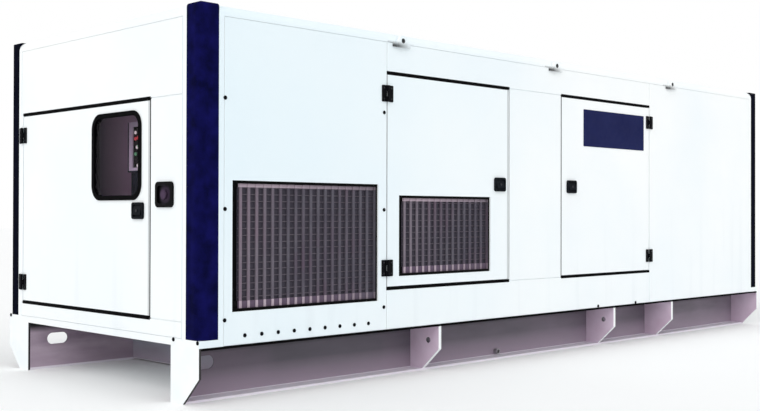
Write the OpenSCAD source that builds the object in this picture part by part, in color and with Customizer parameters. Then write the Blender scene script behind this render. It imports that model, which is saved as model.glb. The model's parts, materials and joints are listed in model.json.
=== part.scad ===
// Diesel generator set in a sound-proof enclosure on a skid base.
// Millimetres, Z up. X runs along the length, the service side faces -Y
// and the control end faces -X. The origin is the bottom centre.

/* [Enclosure] */
// Length over the end walls
length = 6350; // [6250:10:6600]
// Width over the side walls
width = 2200; // [2160:10:2400]
// Height of the side walls, from the base to the roof seam
wall_h = 1800; // [1780:10:1900]
// Height of the roof edge above its seam
roof_h = 65; // [50:1:90]
// Upright lip of the roof under its rounded edge
roof_lip = 7; // [4:1:12]
// Width of a corner post on each face
post_w = 125; // [110:1:135]
// Outer corner radius of a corner post
post_r = 50; // [30:1:60]
// Radius along the top of a corner post
post_top_r = 20; // [10:1:30]
// White margin between a corner post and the first seam
post_margin = 35; // [25:1:45]
// Half width of the groove at each panel seam
seam = 3; // [1:0.5:4]
// Distance between neighbouring lifting brackets
lug_pitch = 1626; // [1500:1:1700]
// Width of a lifting bracket
lug_w = 150; // [130:1:170]
// Outer radius of the eye on a lifting bracket
lug_r = 36; // [30:1:42]
// Diameter of the hole in a lifting bracket
lug_hole_d = 30; // [24:1:36]
// Distance that a lifting bracket stands out from the wall
lug_t = 22; // [16:1:28]

/* [Skid base] */
// Height of the skid base
base_h = 315; // [300:5:340]
// Depth of the deck under the enclosure
deck_t = 40; // [30:1:45]
// Distance from the side wall to the rail web
web_y = 257; // [240:1:270]
// Thickness of the rail web
web_t = 10; // [8:1:14]
// Distance from the side wall to the edge of the bottom flange
flange_y = 148; // [130:1:160]
// Thickness of the bottom flange
flange_t = 12; // [8:1:16]
// Thickness of the plates that close the rail ends
end_plate_t = 14; // [10:1:20]
// Thickness of the gussets
gusset_t = 25; // [20:1:30]
// Height of the outer edge of the gussets and end plates
gusset_edge = 164; // [140:1:190]
// Diameter of the lashing holes in the gussets
gusset_hole_d = 38; // [30:1:44]
// Distance from the side wall to the lashing holes
gusset_hole_y = 93; // [85:1:105]
// Distance from the deck down to the lashing holes
gusset_hole_drop = 111; // [100:1:125]
// Distance from the control end to the first drilled gusset
gusset_x1 = 1907; // [1800:1:2000]
// Distance from the control end to the second drilled gusset
gusset_x2 = 3949; // [3850:1:4050]
// Distance from the control end to the plain gusset
gusset_x3 = 4815; // [4700:1:4900]
// Length of the slots in the rail webs
slot_l = 150; // [130:1:170]
// Height of the slots in the rail webs
slot_h = 75; // [60:1:90]
// Distance from the end wall to the middle of a slot
slot_x = 210; // [180:1:240]
// Distance from the deck down to the middle of a slot
slot_drop = 118; // [105:1:130]
// Distance from the end wall to the first cross member
cross_x = 793; // [700:1:900]
// Thickness of the cross members
cross_t = 12; // [8:1:16]
// Width of the flanges of the cross members
cross_w = 90; // [70:1:110]
// Diameter of the drain coupling
drain_d = 44; // [36:1:46]
// Diameter of the bore in the drain coupling
drain_bore = 28; // [20:1:30]
// Length of the drain coupling
drain_l = 32; // [24:1:40]
// Distance from the control end to the drain coupling
drain_x = 2787; // [2600:1:3000]

/* [Service doors] */
// Width of a service door opening
door_w = 1218; // [1100:2:1300]
// Width of the panel between the service doors
door_mid = 610; // [520:2:700]
// Height of the sill under the service doors
sill_h = 255; // [230:1:270]
// Height of the header over the service doors
header_h = 193; // [180:1:220]
// Thickness of a door leaf
door_t = 44; // [38:1:52]
// Clearance between a door leaf and the frame behind it
door_back = 6; // [5:0.5:9]
// Width of the door frame behind each side of a wall opening
jamb = 24; // [20:1:30]
// Thickness of the door frames
frame_t = 8; // [6:1:10]
// Width of the rim round the lining of a door leaf
rim_w = 60; // [50:1:80]
// Depth of the lining below the rim of a door leaf
rim_t = 8; // [5:1:10]
// Gap above and below a door leaf
gap_z = 13; // [9:1:16]
// Gap at the hinge edge of a door leaf
gap_h = 6; // [6:0.5:8]
// Gap at the latch edge of a door leaf
gap_l = 7; // [7:0.5:9]

/* [Control end] */
// Distance from the service side to the end door
end_door_y = 475; // [450:1:490]
// Width of the strip beside the hinges of the end door
end_strip = 25; // [25:1:35]
// Height of the sill under the end door
end_sill_h = 92; // [80:1:110]
// Height of the header over the end door
end_header_h = 425; // [400:1:440]
// Width of the window over its rubber seal
window_w = 546; // [500:1:560]
// Height of the window over its rubber seal
window_h = 518; // [480:1:530]
// Corner radius of the window seal
window_r = 93; // [70:1:110]
// Distance from the end door opening to the window seal
window_side = 93; // [80:1:120]
// Distance from the top of the end door opening to the window seal
window_top = 58; // [50:1:80]
// Width of the window seal
seal_w = 28; // [22:1:36]
// Width of the window seal that laps the door
seal_lap = 10; // [6:1:14]
// Thickness of the window seal
seal_t = 8; // [6:1:10]
// Thickness of the window glass
glass_t = 6; // [4:1:8]
// Width of the stop button housing
stop_w = 174; // [150:1:190]
// Height of the stop button housing
stop_h = 143; // [120:1:160]
// Width of the rim of the stop button housing
stop_rim = 22; // [18:1:26]
// Diameter of the stop button
stop_d = 56; // [44:1:64]

/* [Grilles] */
// Width of the large intake grille
grille_w = 1119; // [1000:1:1200]
// Height of the large intake grille
grille_h = 723; // [680:1:760]
// Distance from the first seam to the large intake grille
grille_left = 58; // [40:1:80]
// Distance from the large intake grille to the first door
grille_right = 74; // [60:1:90]
// Distance from the base to the large intake grille
grille_low = 183; // [160:1:210]
// Distance from the hinge edge of the door opening to the door grille
door_grille_left = 110; // [95:1:130]
// Distance from the door grille to the latch edge of the door opening
door_grille_right = 207; // [190:1:225]
// Distance from the bottom of the door opening to the door grille
door_grille_low = 74; // [60:1:90]
// Height of the door grille
door_grille_h = 511; // [480:1:540]
// Width of the discharge grille
discharge_w = 1400; // [1300:1:1500]
// Height of the discharge grille
discharge_h = 1200; // [1100:1:1300]
// Width of the flange round the discharge grille
discharge_rim = 30; // [20:1:40]
// Spacing of the upright grille bars
bar_pitch = 56; // [48:1:64]
// Width of the grille frames
grille_frame = 16; // [12:1:24]
// Width of an upright grille bar
bar_w = 18; // [14:1:24]
// Depth of an upright grille bar
bar_t = 16; // [10:1:20]
// Height of the ledge behind the foot of the bars
ledge_h = 40; // [30:1:50]
// Height of the rail behind the head of the bars
head_h = 20; // [15:1:30]
// Depth of the grilles behind the wall face
grille_in = 10; // [8:1:14]

/* [Hinges and latches] */
// Height of a hinge
hinge_h = 103; // [90:1:120]
// Width of a hinge over both leaves
hinge_w = 96; // [84:2:110]
// Distance from the wall face to the hinge pin
hinge_out = 12; // [12:0.5:14]
// Radius of a hinge barrel
barrel_r = 7; // [6:0.5:7]
// Radius of a hinge pin
pin_r = 4; // [3:0.5:4.5]
// Width of a paddle latch
latch_w = 118; // [100:1:130]
// Height of a paddle latch
latch_h = 96; // [80:1:110]
// Corner radius of a paddle latch
latch_r = 16; // [10:1:20]
// Distance that a latch plate stands out from the door
latch_t = 12; // [8:1:14]
// Width of the rim of a latch plate
latch_rim = 13; // [10:1:16]
// Distance from the door opening to the middle of the left latch
latch_side = 110; // [95:1:130]
// Distance from the door opening to the middle of the right latch
latch_side_2 = 128; // [110:1:140]
// Distance from the end door opening to the middle of its latch
latch_side_3 = 124; // [110:1:140]
// Distance from the door grille to the middle of a latch
latch_up = 88; // [70:1:110]
// Distance from the window seal to the end door latch
latch_down = 13; // [8:1:30]
// Thickness of the hinge leaves
leaf_t = 6; // [4:0.5:7]
// Distance from a hinge pin to the edge of its leaves
leaf_gap = 12; // [12:0.5:14]
// Half height of the middle knuckle of a hinge
knuckle = 16; // [12:1:18]
// Play between the knuckles of a hinge
play = 2; // [1:0.5:3]
// Running gap round a hinge pin
pin_gap = 0.6; // [0.3:0.1:0.8]

/* [Power unit] */
// Distance from the control end to the flywheel housing
engine_x = 2190; // [2100:10:2300]
// Length of the engine block
engine_l = 1800; // [1700:10:1900]
// Width of the engine block
engine_w = 660; // [600:10:720]
// Height of the crankshaft above the deck
crank_h = 600; // [580:5:640]
// Radius of the flywheel housing
flywheel_r = 400; // [350:5:420]
// Length of the flywheel housing
flywheel_l = 110; // [90:5:140]
// Spacing of the cylinders along the engine
station = 280; // [260:5:290]
// Lean of each cylinder bank
bank_lean = 35; // [30:1:45]
// Radius of the air cleaners
cleaner_r = 115; // [100:5:120]
// Length of the alternator body
alternator_l = 940; // [850:10:1000]
// Radius of the alternator body
alternator_r = 340; // [300:5:360]
// Height of the beams under the engine
beam_h = 160; // [140:5:180]
// Width of the beams under the engine
beam_w = 100; // [80:5:120]
// Height of the rubber mounts on the beams
rubber_h = 40; // [30:1:50]
// Radius of the cooling fan
fan_r = 620; // [560:5:640]
// Running gap round the cooling fan
fan_gap = 30; // [20:1:40]
// Height of the cooling fan above the crankshaft
fan_up = 120; // [90:5:150]
// Distance from the engine to the cooling fan
fan_reach = 360; // [345:5:400]
// Depth of the radiator core
core_t = 260; // [220:5:320]
// Gap between the radiator and the side walls
core_gap = 170; // [140:5:200]
// Gap between the radiator and the roof
core_top = 200; // [160:5:240]
// Radius of the silencer
silencer_r = 170; // [150:5:190]
// Length of the silencer
silencer_l = 1500; // [1300:10:1700]
// Gap between the silencer and the walls
silencer_gap = 70; // [50:5:100]
// Radius of the exhaust pipe
pipe_r = 70; // [60:1:80]

/* [Control cabinet] */
// Distance from the control end to the front of the cabinet
cabinet_x = 250; // [230:5:280]
// Depth of the cabinet
cabinet_t = 390; // [340:5:420]
// Width of the cabinet
cabinet_w = 692; // [640:1:720]
// Distance from the service side to the cabinet
cabinet_y = 430; // [400:5:460]
// Height of the lower cabinet above the base
cabinet_low = 977; // [940:1:1010]
// Height of the instrument console
console_h = 310; // [280:5:340]
// Width of the upright sides of the frame round the instrument panel
console_stile = 48; // [40:1:56]
// Height of the rails of the frame round the instrument panel
console_rail = 28; // [22:1:36]

/* [Hidden] */
$fn = 48;
white = [0.93, 0.94, 0.94];
navy = [0.06, 0.07, 0.25];
black = [0.05, 0.05, 0.06];
grey = [0.42, 0.38, 0.43];
dark = [0.2, 0.2, 0.22];
wall_t = door_t + door_back;
roof_r = roof_h - roof_lip;
col_w = post_w + post_margin;
z_deck = base_h + deck_t;
z_seam = base_h + wall_h;
z_top = z_seam + roof_h;
door_x = col_w + grille_left + grille_w + grille_right;
door_z0 = base_h + sill_h;
door_z1 = z_seam - header_h;
door2_x = door_x + door_w + door_mid;
right_x = door2_x + door_w;
end_z0 = z_deck + end_sill_h;
end_z1 = z_seam - end_header_h;
end_y1 = width - col_w - end_strip;
grille_x = col_w + grille_left + grille_w / 2;
grille_z = base_h + grille_low + grille_h / 2;
door_grille_w = door_w - door_grille_left - door_grille_right;
door_grille_x = door_x + door_grille_left + door_grille_w / 2;
door_grille_z = door_z0 + door_grille_low + door_grille_h / 2;
door_grille_in = door_t - bar_t - grille_in - 8;
door_hinge_z = [door_z0 + 129, door_z1 - 132];
end_hinge_z = [end_z0 + 133, end_z1 - 138];
latch_z = door_grille_z + door_grille_h / 2 + latch_up;
window_y = end_door_y + window_side + window_w / 2;
window_z = end_z1 - window_top - window_h / 2;
end_latch_z = window_z - window_h / 2 - latch_down - latch_h / 2;
stop_y = (col_w + end_door_y) / 2 + 11;
stop_z = base_h + 828;
discharge_z = z_deck + 870;
gusset_x = [gusset_x1, gusset_x2, gusset_x3];
proud = hinge_out + barrel_r;
mid_y = width / 2;
z_crank = z_deck + crank_h;
foot_z = z_deck + beam_h + rubber_h;
engine_x1 = engine_x + flywheel_l;
fan_x = engine_x1 + engine_l + fan_reach;
fan_z = z_crank + fan_up;
core_x = fan_x + 170;
core_w = width - 2 * (wall_t + core_gap);
core_z = z_seam - core_top;
silencer_y = width - wall_t - silencer_gap - silencer_r;
silencer_z = z_seam - silencer_gap - silencer_r;
riser_x = engine_x1 + 170;
fit = 0.5;

// Places a shape given from the corner of the service side and the control end.
module corner() {
    translate([-length / 2, -width / 2, 0])
        children();
}

// Repeats a shape on the far side wall.
module far_side() {
    mirror([0, 1, 0])
        children();
}

// Repeats a shape at all four corners of the plan.
module four_corners() {
    for (mx = [0, 1], my = [0, 1])
        mirror([mx, 0, 0])
            mirror([0, my, 0])
                corner()
                    children();
}

// Plain block between two corners.
module block(a, b) {
    translate(a)
        cube(b - a);
}

// Turns a drawing in X and Y into one standing in X and Z, given depth along Y.
module upright(depth) {
    translate([0, depth, 0])
        rotate([90, 0, 0])
            linear_extrude(depth)
                children();
}

// Turns a drawing in Y and Z into a plate given its thickness along X.
module sideways(depth) {
    rotate([90, 0, 90])
        linear_extrude(depth)
            children();
}

// Rectangle about the origin with round corners.
module round_rect(w, h, r) {
    square([w - 2 * r, h], center = true);
    square([w, h - 2 * r], center = true);
    for (sx = [-1, 1], sy = [-1, 1])
        translate([sx * (w / 2 - r), sy * (h / 2 - r)])
            circle(r);
}

// Rectangular border about the origin.
module border(w, h, t) {
    difference() {
        square([w, h], center = true);
        square([w - 2 * t, h - 2 * t], center = true);
    }
}

// Wall panel on the service side with a stepped edge that draws the seam.
module side_panel(x0, x1, z0, z1) {
    block([x0, 2 * seam, z0], [x1, wall_t, z1]);
    block([x0 + seam, 0, z0 + seam], [x1 - seam, wall_t, z1 - seam]);
}

// Wall panel on the control end with the same stepped edge.
module end_panel(y0, y1, z0, z1) {
    block([2 * seam, y0, z0], [wall_t, y1, z1]);
    block([0, y0 + seam, z0 + seam], [wall_t, y1 - seam, z1 - seam]);
}

// Grille about the origin in X and Z: frame and upright bars.
module grille(w, h) {
    n = floor((w - 2 * grille_frame) / bar_pitch);
    step = (w - 2 * grille_frame) / n;
    upright(bar_t + 18)
        border(w, h, grille_frame);
    for (i = [1 : n - 1])
        translate([grille_frame - w / 2 + i * step, 12, 0])
            block([-bar_w / 2, 0, -h / 2 + grille_frame],
                  [bar_w / 2, bar_t, h / 2 - grille_frame]);
    for (z = [[-h / 2 + grille_frame, ledge_h], [h / 2 - grille_frame - head_h, head_h]])
        translate([0, bar_t, z[0]])
            block([-w / 2 + grille_frame, 0, 0], [w / 2 - grille_frame, 12, z[1]]);
    block([-w / 2 + grille_frame, bar_t + 12, -h / 2 + grille_frame],
          [w / 2 - grille_frame, bar_t + 18, h / 2 - grille_frame]);
}

// Paddle latch about the origin, on a wall face at Y zero: dished plate and finger paddle.
module latch() {
    pan_w = latch_w - 2 * latch_rim;
    pan_h = latch_h - 2 * latch_rim;
    difference() {
        translate([0, -latch_t, 0])
            upright(latch_t)
                round_rect(latch_w, latch_h, latch_r);
        translate([0, -latch_t - 1, 0])
            upright(latch_t - 2)
                round_rect(pan_w, pan_h, latch_r - 6);
    }
    translate([-pan_w / 2 + 6, 0, 0])
        sideways(pan_w - 12)
            polygon([[-2, pan_h / 2 - 8], [-2, 10 - pan_h / 2], [-latch_t - 4, 10 - pan_h / 2],
                     [-latch_t - 4, 16 - pan_h / 2], [4 - latch_t, pan_h / 2 - 8]]);
}

// Fixed half of a hinge: pin axis at the origin, wall face at Y hinge_out, door at +X.
module hinge_fixed() {
    k = hinge_h / 2;
    end_h = k - knuckle - play;
    translate([-(hinge_w / 2 + leaf_gap) / 2, hinge_out - leaf_t, 0])
        upright(leaf_t)
            round_rect(hinge_w / 2 - leaf_gap, hinge_h, 5);
    for (s = [-1, 1])
        translate([0, 0, s * (k - end_h / 2)]) {
            block([-leaf_gap - 6, 0, -end_h / 2], [-gap_h / 2 - 1, hinge_out, end_h / 2]);
            cylinder(r = barrel_r, h = end_h, center = true);
        }
    cylinder(r = pin_r, h = hinge_h, center = true);
}

// Moving half of a hinge, in the same place.
module hinge_moving() {
    difference() {
        union() {
            translate([(hinge_w / 2 + leaf_gap) / 2, hinge_out - leaf_t, 0])
                upright(leaf_t)
                    round_rect(hinge_w / 2 - leaf_gap, hinge_h, 5);
            block([gap_h / 2 + 1, 0, -knuckle], [leaf_gap + 6, hinge_out, knuckle]);
            cylinder(r = barrel_r, h = 2 * knuckle, center = true);
        }
        cylinder(r = pin_r + pin_gap, h = hinge_h, center = true);
    }
}

// Skid rail on the service side: a channel open to the outside, slotted at the control end.
module rail() {
    corner() difference() {
        union() {
            block([end_plate_t, web_y, 0], [length - end_plate_t, web_y + web_t, base_h]);
            for (z = [0, base_h - flange_t])
                block([end_plate_t, flange_y, z],
                      [length - end_plate_t, web_y + web_t, z + flange_t]);
        }
        translate([slot_x, web_y - 5, base_h - slot_drop])
            upright(web_t + 10) {
                square([slot_l - slot_h, slot_h], center = true);
                for (s = [-1, 1])
                    translate([s * (slot_l - slot_h) / 2, 0])
                        circle(d = slot_h);
            }
    }
}

// Gussets of the rail on the service side; the first two are drilled for lashing.
module gussets() {
    corner()
        for (i = [0 : len(gusset_x) - 1])
            translate([gusset_x[i] - gusset_t / 2, 0, 0])
                sideways(gusset_t) difference() {
                    polygon([[0, base_h], [0, base_h - gusset_edge], [flange_y, flange_t],
                             [web_y, flange_t], [web_y, base_h - flange_t],
                             [flange_y, base_h - flange_t], [flange_y, base_h]]);
                    if (i < 2)
                        translate([gusset_hole_y, base_h - gusset_hole_drop])
                            circle(d = gusset_hole_d);
                }
}

module base_rail_front() {
    color(grey)
        rail();
}

module base_rail_back() {
    color(grey)
        far_side()
            rail();
}

module base_gussets_front() {
    color(white)
        gussets();
}

module base_gussets_back() {
    color(white)
        far_side()
            gussets();
}

module base_end_plates() {
    color(white)
        four_corners()
            sideways(end_plate_t)
                polygon([[0, base_h], [0, base_h - gusset_edge], [flange_y, 0],
                         [web_y + web_t, 0], [web_y + web_t, base_h]]);
}

module base_cross_members() {
    inner = web_y + web_t;
    color(grey)
        corner()
            for (i = [0 : 3])
                translate([cross_x + i * (length - 2 * cross_x - cross_w) / 3, 0, 0]) {
                    block([0, inner, flange_t], [cross_t, width - inner, base_h]);
                    for (z = [flange_t, base_h - cross_t])
                        block([0, inner, z], [cross_w, width - inner, z + cross_t]);
                }
}

module base_deck() {
    color(white)
        corner() {
            block([0, wall_t, base_h], [length, width - wall_t, z_deck]);
            block([0, 0, base_h], [col_w, width, z_deck]);
            block([length - col_w, 0, base_h], [length, width, z_deck]);
        }
}

module drain_coupling() {
    color(dark)
        corner()
            translate([drain_x, web_y - drain_l, flange_t + 4 + drain_d / 2])
                rotate([-90, 0, 0]) difference() {
                    union() {
                        cylinder(d = drain_d, h = drain_l / 2, $fn = 6);
                        cylinder(d = drain_d - 6, h = drain_l);
                    }
                    translate([0, 0, -1])
                        cylinder(d = drain_bore, h = drain_l - 6);
                }
}

module front_left_panel() {
    color(white)
        corner() difference() {
            side_panel(col_w, door_x, base_h, z_seam);
            translate([grille_x, -1, grille_z])
                block([-grille_w / 2, 0, -grille_h / 2],
                      [grille_w / 2, wall_t + 2, grille_h / 2]);
        }
}

module front_intake_grille() {
    color(grey)
        corner()
            translate([grille_x, grille_in, grille_z])
                grille(grille_w, grille_h);
}

module front_middle_panel() {
    color(white)
        corner()
            side_panel(door_x + door_w, door2_x, door_z0, door_z1);
}

module front_right_panel() {
    color(white)
        corner()
            side_panel(right_x, length - col_w, base_h, z_seam);
}

module front_header() {
    color(white)
        corner()
            side_panel(door_x, right_x, door_z1, z_seam);
}

module front_sill() {
    color(white)
        corner()
            side_panel(door_x, right_x, base_h, door_z0);
}

module front_door_frames() {
    color(dark)
        corner()
            for (x = [door_x, door2_x])
                difference() {
                    block([x - jamb, wall_t, door_z0 - jamb],
                          [x + door_w + jamb, wall_t + frame_t, door_z1 + jamb]);
                    block([x + jamb, wall_t - 1, door_z0 + jamb],
                          [x + door_w - jamb, wall_t + frame_t + 1, door_z1 - jamb]);
                }
}

module front_hinge_plates() {
    color(black)
        corner()
            for (z = door_hinge_z) {
                translate([door_x + gap_h / 2, -hinge_out, z])
                    hinge_fixed();
                translate([right_x - gap_h / 2, -hinge_out, z])
                    mirror([1, 0, 0])
                        hinge_fixed();
            }
}

// Recess for the lining on the inner face of a door leaf on the service side.
module lining(x0, x1, z0, z1) {
    bar = rim_w / 2;
    zm = (z0 + z1) / 2;
    for (z = [[z0 + rim_w, zm - bar], [zm + bar, z1 - rim_w]])
        block([x0 + rim_w, door_t - rim_t, z[0]], [x1 - rim_w, door_t + 1, z[1]]);
}

module front_left_door() {
    x0 = door_x + gap_h;
    x1 = door_x + door_w - gap_l;
    color(white)
        corner() difference() {
            block([x0, 0, door_z0 + gap_z], [x1, door_t, door_z1 - gap_z]);
            translate([door_grille_x, -1, door_grille_z])
                block([-door_grille_w / 2, 0, -door_grille_h / 2],
                      [door_grille_w / 2, door_t + 2, door_grille_h / 2]);
            lining(x0, x1, door_grille_z + door_grille_h / 2, door_z1 - gap_z);
        }
}

module front_left_door_grille() {
    color(grey)
        corner()
            translate([door_grille_x, door_grille_in, door_grille_z])
                grille(door_grille_w, door_grille_h);
}

module front_left_door_latch() {
    color(black)
        corner()
            translate([door_x + door_w - latch_side, 0, latch_z])
                latch();
}

module front_left_door_hinge_leaves() {
    color(black)
        corner()
            for (z = door_hinge_z)
                translate([door_x + gap_h / 2, -hinge_out, z])
                    hinge_moving();
}

module front_right_door() {
    x0 = door2_x + gap_l;
    x1 = right_x - gap_h;
    color(white)
        corner()
            difference() {
                block([x0, 0, door_z0 + gap_z], [x1, door_t, door_z1 - gap_z]);
                lining(x0, x1, door_z0 + gap_z, door_z1 - gap_z);
            }
}

module front_right_door_latch() {
    color(black)
        corner()
            translate([door2_x + latch_side_2, 0, latch_z])
                latch();
}

module front_right_door_hinge_leaves() {
    color(black)
        corner()
            for (z = door_hinge_z)
                translate([right_x - gap_h / 2, -hinge_out, z])
                    mirror([1, 0, 0])
                        hinge_moving();
}

// Groove round a closed door, cut into a wall.
module door_groove(x) {
    translate([x, -1, door_z0]) difference() {
        block([0, 0, 0], [door_w, 13, door_z1 - door_z0]);
        block([gap_h, -1, gap_z], [door_w - gap_l, 14, door_z1 - door_z0 - gap_z]);
    }
}

module back_wall() {
    color(white)
        far_side()
            corner() difference() {
                side_panel(col_w, length - col_w, base_h, z_seam);
                door_groove(door_x);
                door_groove(door2_x);
                for (x = [door_x, right_x])
                    block([x - seam, -1, base_h - 1], [x + seam, 2 * seam, z_seam + 1]);
                translate([grille_x, -1, grille_z])
                    block([-grille_w / 2, 0, -grille_h / 2],
                          [grille_w / 2, wall_t + 2, grille_h / 2]);
                translate([door_grille_x, -1, door_grille_z])
                    block([-door_grille_w / 2, 0, -door_grille_h / 2],
                          [door_grille_w / 2, wall_t + 2, door_grille_h / 2]);
            }
}

module back_grilles() {
    color(grey)
        far_side()
            corner() {
                translate([grille_x, grille_in, grille_z])
                    grille(grille_w, grille_h);
                translate([door_grille_x, door_grille_in, door_grille_z])
                    grille(door_grille_w, door_grille_h);
            }
}

module back_hinges() {
    color(black)
        far_side()
            corner()
                for (z = door_hinge_z, x = [door_x + gap_h / 2, right_x - gap_h / 2])
                    translate([x, -hinge_out, z]) {
                        translate([0, hinge_out - leaf_t, 0])
                            upright(leaf_t)
                                round_rect(hinge_w, hinge_h, 5);
                        block([-barrel_r, 0, -hinge_h / 2], [barrel_r, hinge_out, hinge_h / 2]);
                        cylinder(r = barrel_r, h = hinge_h, center = true);
                    }
}

module back_latches() {
    color(black)
        far_side()
            corner()
                for (x = [door_x + door_w - latch_side, door2_x + latch_side_2])
                    translate([x, 0, latch_z])
                        latch();
}

module control_end_header() {
    color(white)
        corner() {
            end_panel(col_w, width - col_w, end_z1, z_seam);
            block([0, end_y1, end_z0], [wall_t, width - col_w, end_z1 + 1]);
        }
}

module control_end_side_panel() {
    color(white)
        corner() difference() {
            end_panel(col_w, end_door_y, end_z0, end_z1);
            translate([-1, stop_y, stop_z])
                sideways(wall_t - 9)
                    round_rect(stop_w - stop_rim, stop_h - stop_rim, stop_rim - 4);
        }
}

module control_end_sill() {
    color(white)
        corner()
            end_panel(col_w, width - col_w, z_deck, end_z0);
}

module end_door_frame() {
    color(dark)
        corner() difference() {
            block([wall_t, end_door_y - jamb, end_z0 - jamb],
                  [wall_t + frame_t, end_y1 + jamb, end_z1 + jamb]);
            block([wall_t - 1, end_door_y + jamb, end_z0 + jamb],
                  [wall_t + frame_t + 1, end_y1 - jamb, end_z1 - jamb]);
        }
}

// Places a hinge half at the far edge of the end door.
module end_hinge(z) {
    corner()
        translate([-hinge_out, end_y1 - gap_h / 2, z])
            rotate([0, 0, -90])
                children();
}

module end_hinge_plates() {
    color(black)
        for (z = end_hinge_z)
            end_hinge(z)
                hinge_fixed();
}

module end_door() {
    y0 = end_door_y + gap_l;
    y1 = end_y1 - gap_h;
    color(white)
        corner() difference() {
            block([0, y0, end_z0 + gap_z], [door_t, y1, end_z1 - gap_z]);
            translate([-1, window_y, window_z])
                sideways(door_t + 2)
                    round_rect(window_w - 2 * seal_lap, window_h - 2 * seal_lap, window_r - seal_lap);
            translate([door_t - rim_t, 0, 0])
                sideways(rim_t + 1) difference() {
                    translate([y0 + rim_w, end_z0 + gap_z + rim_w])
                        square([y1 - y0 - 2 * rim_w, end_z1 - end_z0 - 2 * (gap_z + rim_w)]);
                    translate([window_y, window_z])
                        round_rect(window_w + rim_w, window_h + rim_w, window_r + rim_w / 2);
                }
        }
}

module window_seal() {
    color(black)
        corner()
            translate([-seal_t, window_y, window_z])
                sideways(seal_t) difference() {
                    round_rect(window_w, window_h, window_r);
                    round_rect(window_w - 2 * seal_w, window_h - 2 * seal_w, window_r - seal_w);
                }
}

module window_glass() {
    color([0.22, 0.22, 0.25, 0.5])
        corner()
            translate([0, window_y, window_z])
                sideways(glass_t)
                    round_rect(window_w - 2 * (seal_lap + fit), window_h - 2 * (seal_lap + fit),
                               window_r - seal_lap);
}

module end_door_latch() {
    color(black)
        corner()
            translate([0, end_door_y + latch_side_3, end_latch_z])
                rotate([0, 0, -90])
                    latch();
}

module end_door_hinge_leaves() {
    color(black)
        for (z = end_hinge_z)
            end_hinge(z)
                hinge_moving();
}

module stop_button() {
    color(black)
        corner()
            translate([0, stop_y, stop_z]) {
                translate([-10, 0, 0])
                    sideways(10) difference() {
                        round_rect(stop_w, stop_h, stop_rim + 4);
                        round_rect(stop_w - 2 * stop_rim, stop_h - 2 * stop_rim, stop_rim - 6);
                    }
                sideways(6)
                    round_rect(stop_w - stop_rim - 2 * fit, stop_h - stop_rim - 2 * fit, stop_rim - 4);
                rotate([0, -90, 0]) {
                    cylinder(d = stop_d * 0.6, h = 8);
                    translate([0, 0, 6])
                        cylinder(d = stop_d, h = 8);
                }
            }
}

module radiator_end_panel() {
    color(white)
        mirror([1, 0, 0])
            corner() difference() {
                end_panel(col_w, width - col_w, z_deck, z_seam);
                translate([-1, mid_y, discharge_z])
                    block([0, -discharge_w / 2, -discharge_h / 2],
                          [wall_t + 2, discharge_w / 2, discharge_h / 2]);
            }
}

module discharge_grille() {
    color(grey)
        mirror([1, 0, 0])
            corner()
                translate([0, mid_y, discharge_z]) {
                    translate([grille_in, 0, 0])
                        rotate([0, 0, -90])
                            grille(discharge_w, discharge_h);
                    sideways(grille_in)
                        border(discharge_w, discharge_h, grille_frame);
                    translate([-proud, 0, 0])
                        sideways(proud)
                            border(discharge_w + 2 * discharge_rim, discharge_h + 2 * discharge_rim,
                                   grille_frame + discharge_rim);
                }
}

module corner_posts() {
    color(navy)
        four_corners()
            intersection() {
                translate([0, 0, z_deck])
                    linear_extrude(z_top - z_deck) {
                        translate([post_r, 0])
                            square([post_w - post_r, post_w]);
                        translate([0, post_r])
                            square([post_w, post_w - post_r]);
                        translate([post_r, post_r])
                            circle(post_r);
                    }
                sideways(post_w)
                    post_side();
                upright(post_w)
                    post_side();
            }
}

// Side outline of a corner post, rounded at the top of its outer edge.
module post_side() {
    translate([0, z_deck])
        square([post_w, z_top - z_deck - post_top_r]);
    translate([post_top_r, z_deck])
        square([post_w - post_top_r, z_top - z_deck]);
    translate([post_top_r, z_top - post_top_r])
        circle(post_top_r);
}

module corner_columns() {
    color(white)
        four_corners()
            difference() {
                block([0, 0, z_deck], [col_w, col_w, z_seam]);
                block([-1, -1, z_deck - 1], [post_w, post_w, z_seam + 1]);
            }
}

// Cross-section of the roof, rounded along both top edges.
module roof_outline(w) {
    translate([0, z_seam])
        square([w, roof_h - roof_r]);
    translate([roof_r, z_seam])
        square([w - 2 * roof_r, roof_h]);
    for (x = [roof_r, w - roof_r])
        translate([x, z_top - roof_r])
            circle(roof_r);
}

module roof() {
    color(white)
        difference() {
            corner() intersection() {
                sideways(length)
                    roof_outline(width);
                upright(width)
                    roof_outline(length);
                block([0, 0, z_seam], [length, width, z_top]);
            }
            four_corners()
                block([-1, -1, z_seam - 1], [post_w, post_w, z_top + 1]);
        }
}

module lifting_brackets() {
    color(white)
        for (m = [0, 1])
            mirror([0, m, 0])
                corner()
                    for (i = [-1 : 1])
                        translate([length / 2 - 14 + i * lug_pitch, 0, z_seam]) difference() {
                            union() {
                                translate([0, -lug_t * 0.6, 0])
                                    upright(lug_t * 0.6)
                                        translate([-lug_w / 2, -24])
                                            square([lug_w, 24 + roof_lip]);
                                translate([0, -lug_t, 0])
                                    upright(lug_t) {
                                        translate([0, lug_r / 2 - 4])
                                            circle(lug_r);
                                        translate([-lug_r, -24])
                                            square([2 * lug_r, 24 + lug_r / 2 - 4]);
                                    }
                            }
                            translate([0, -lug_t - 1, 0])
                                upright(lug_t + 2)
                                    translate([0, lug_r / 2 - 2])
                                        circle(d = lug_hole_d);
                        }
}

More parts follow.
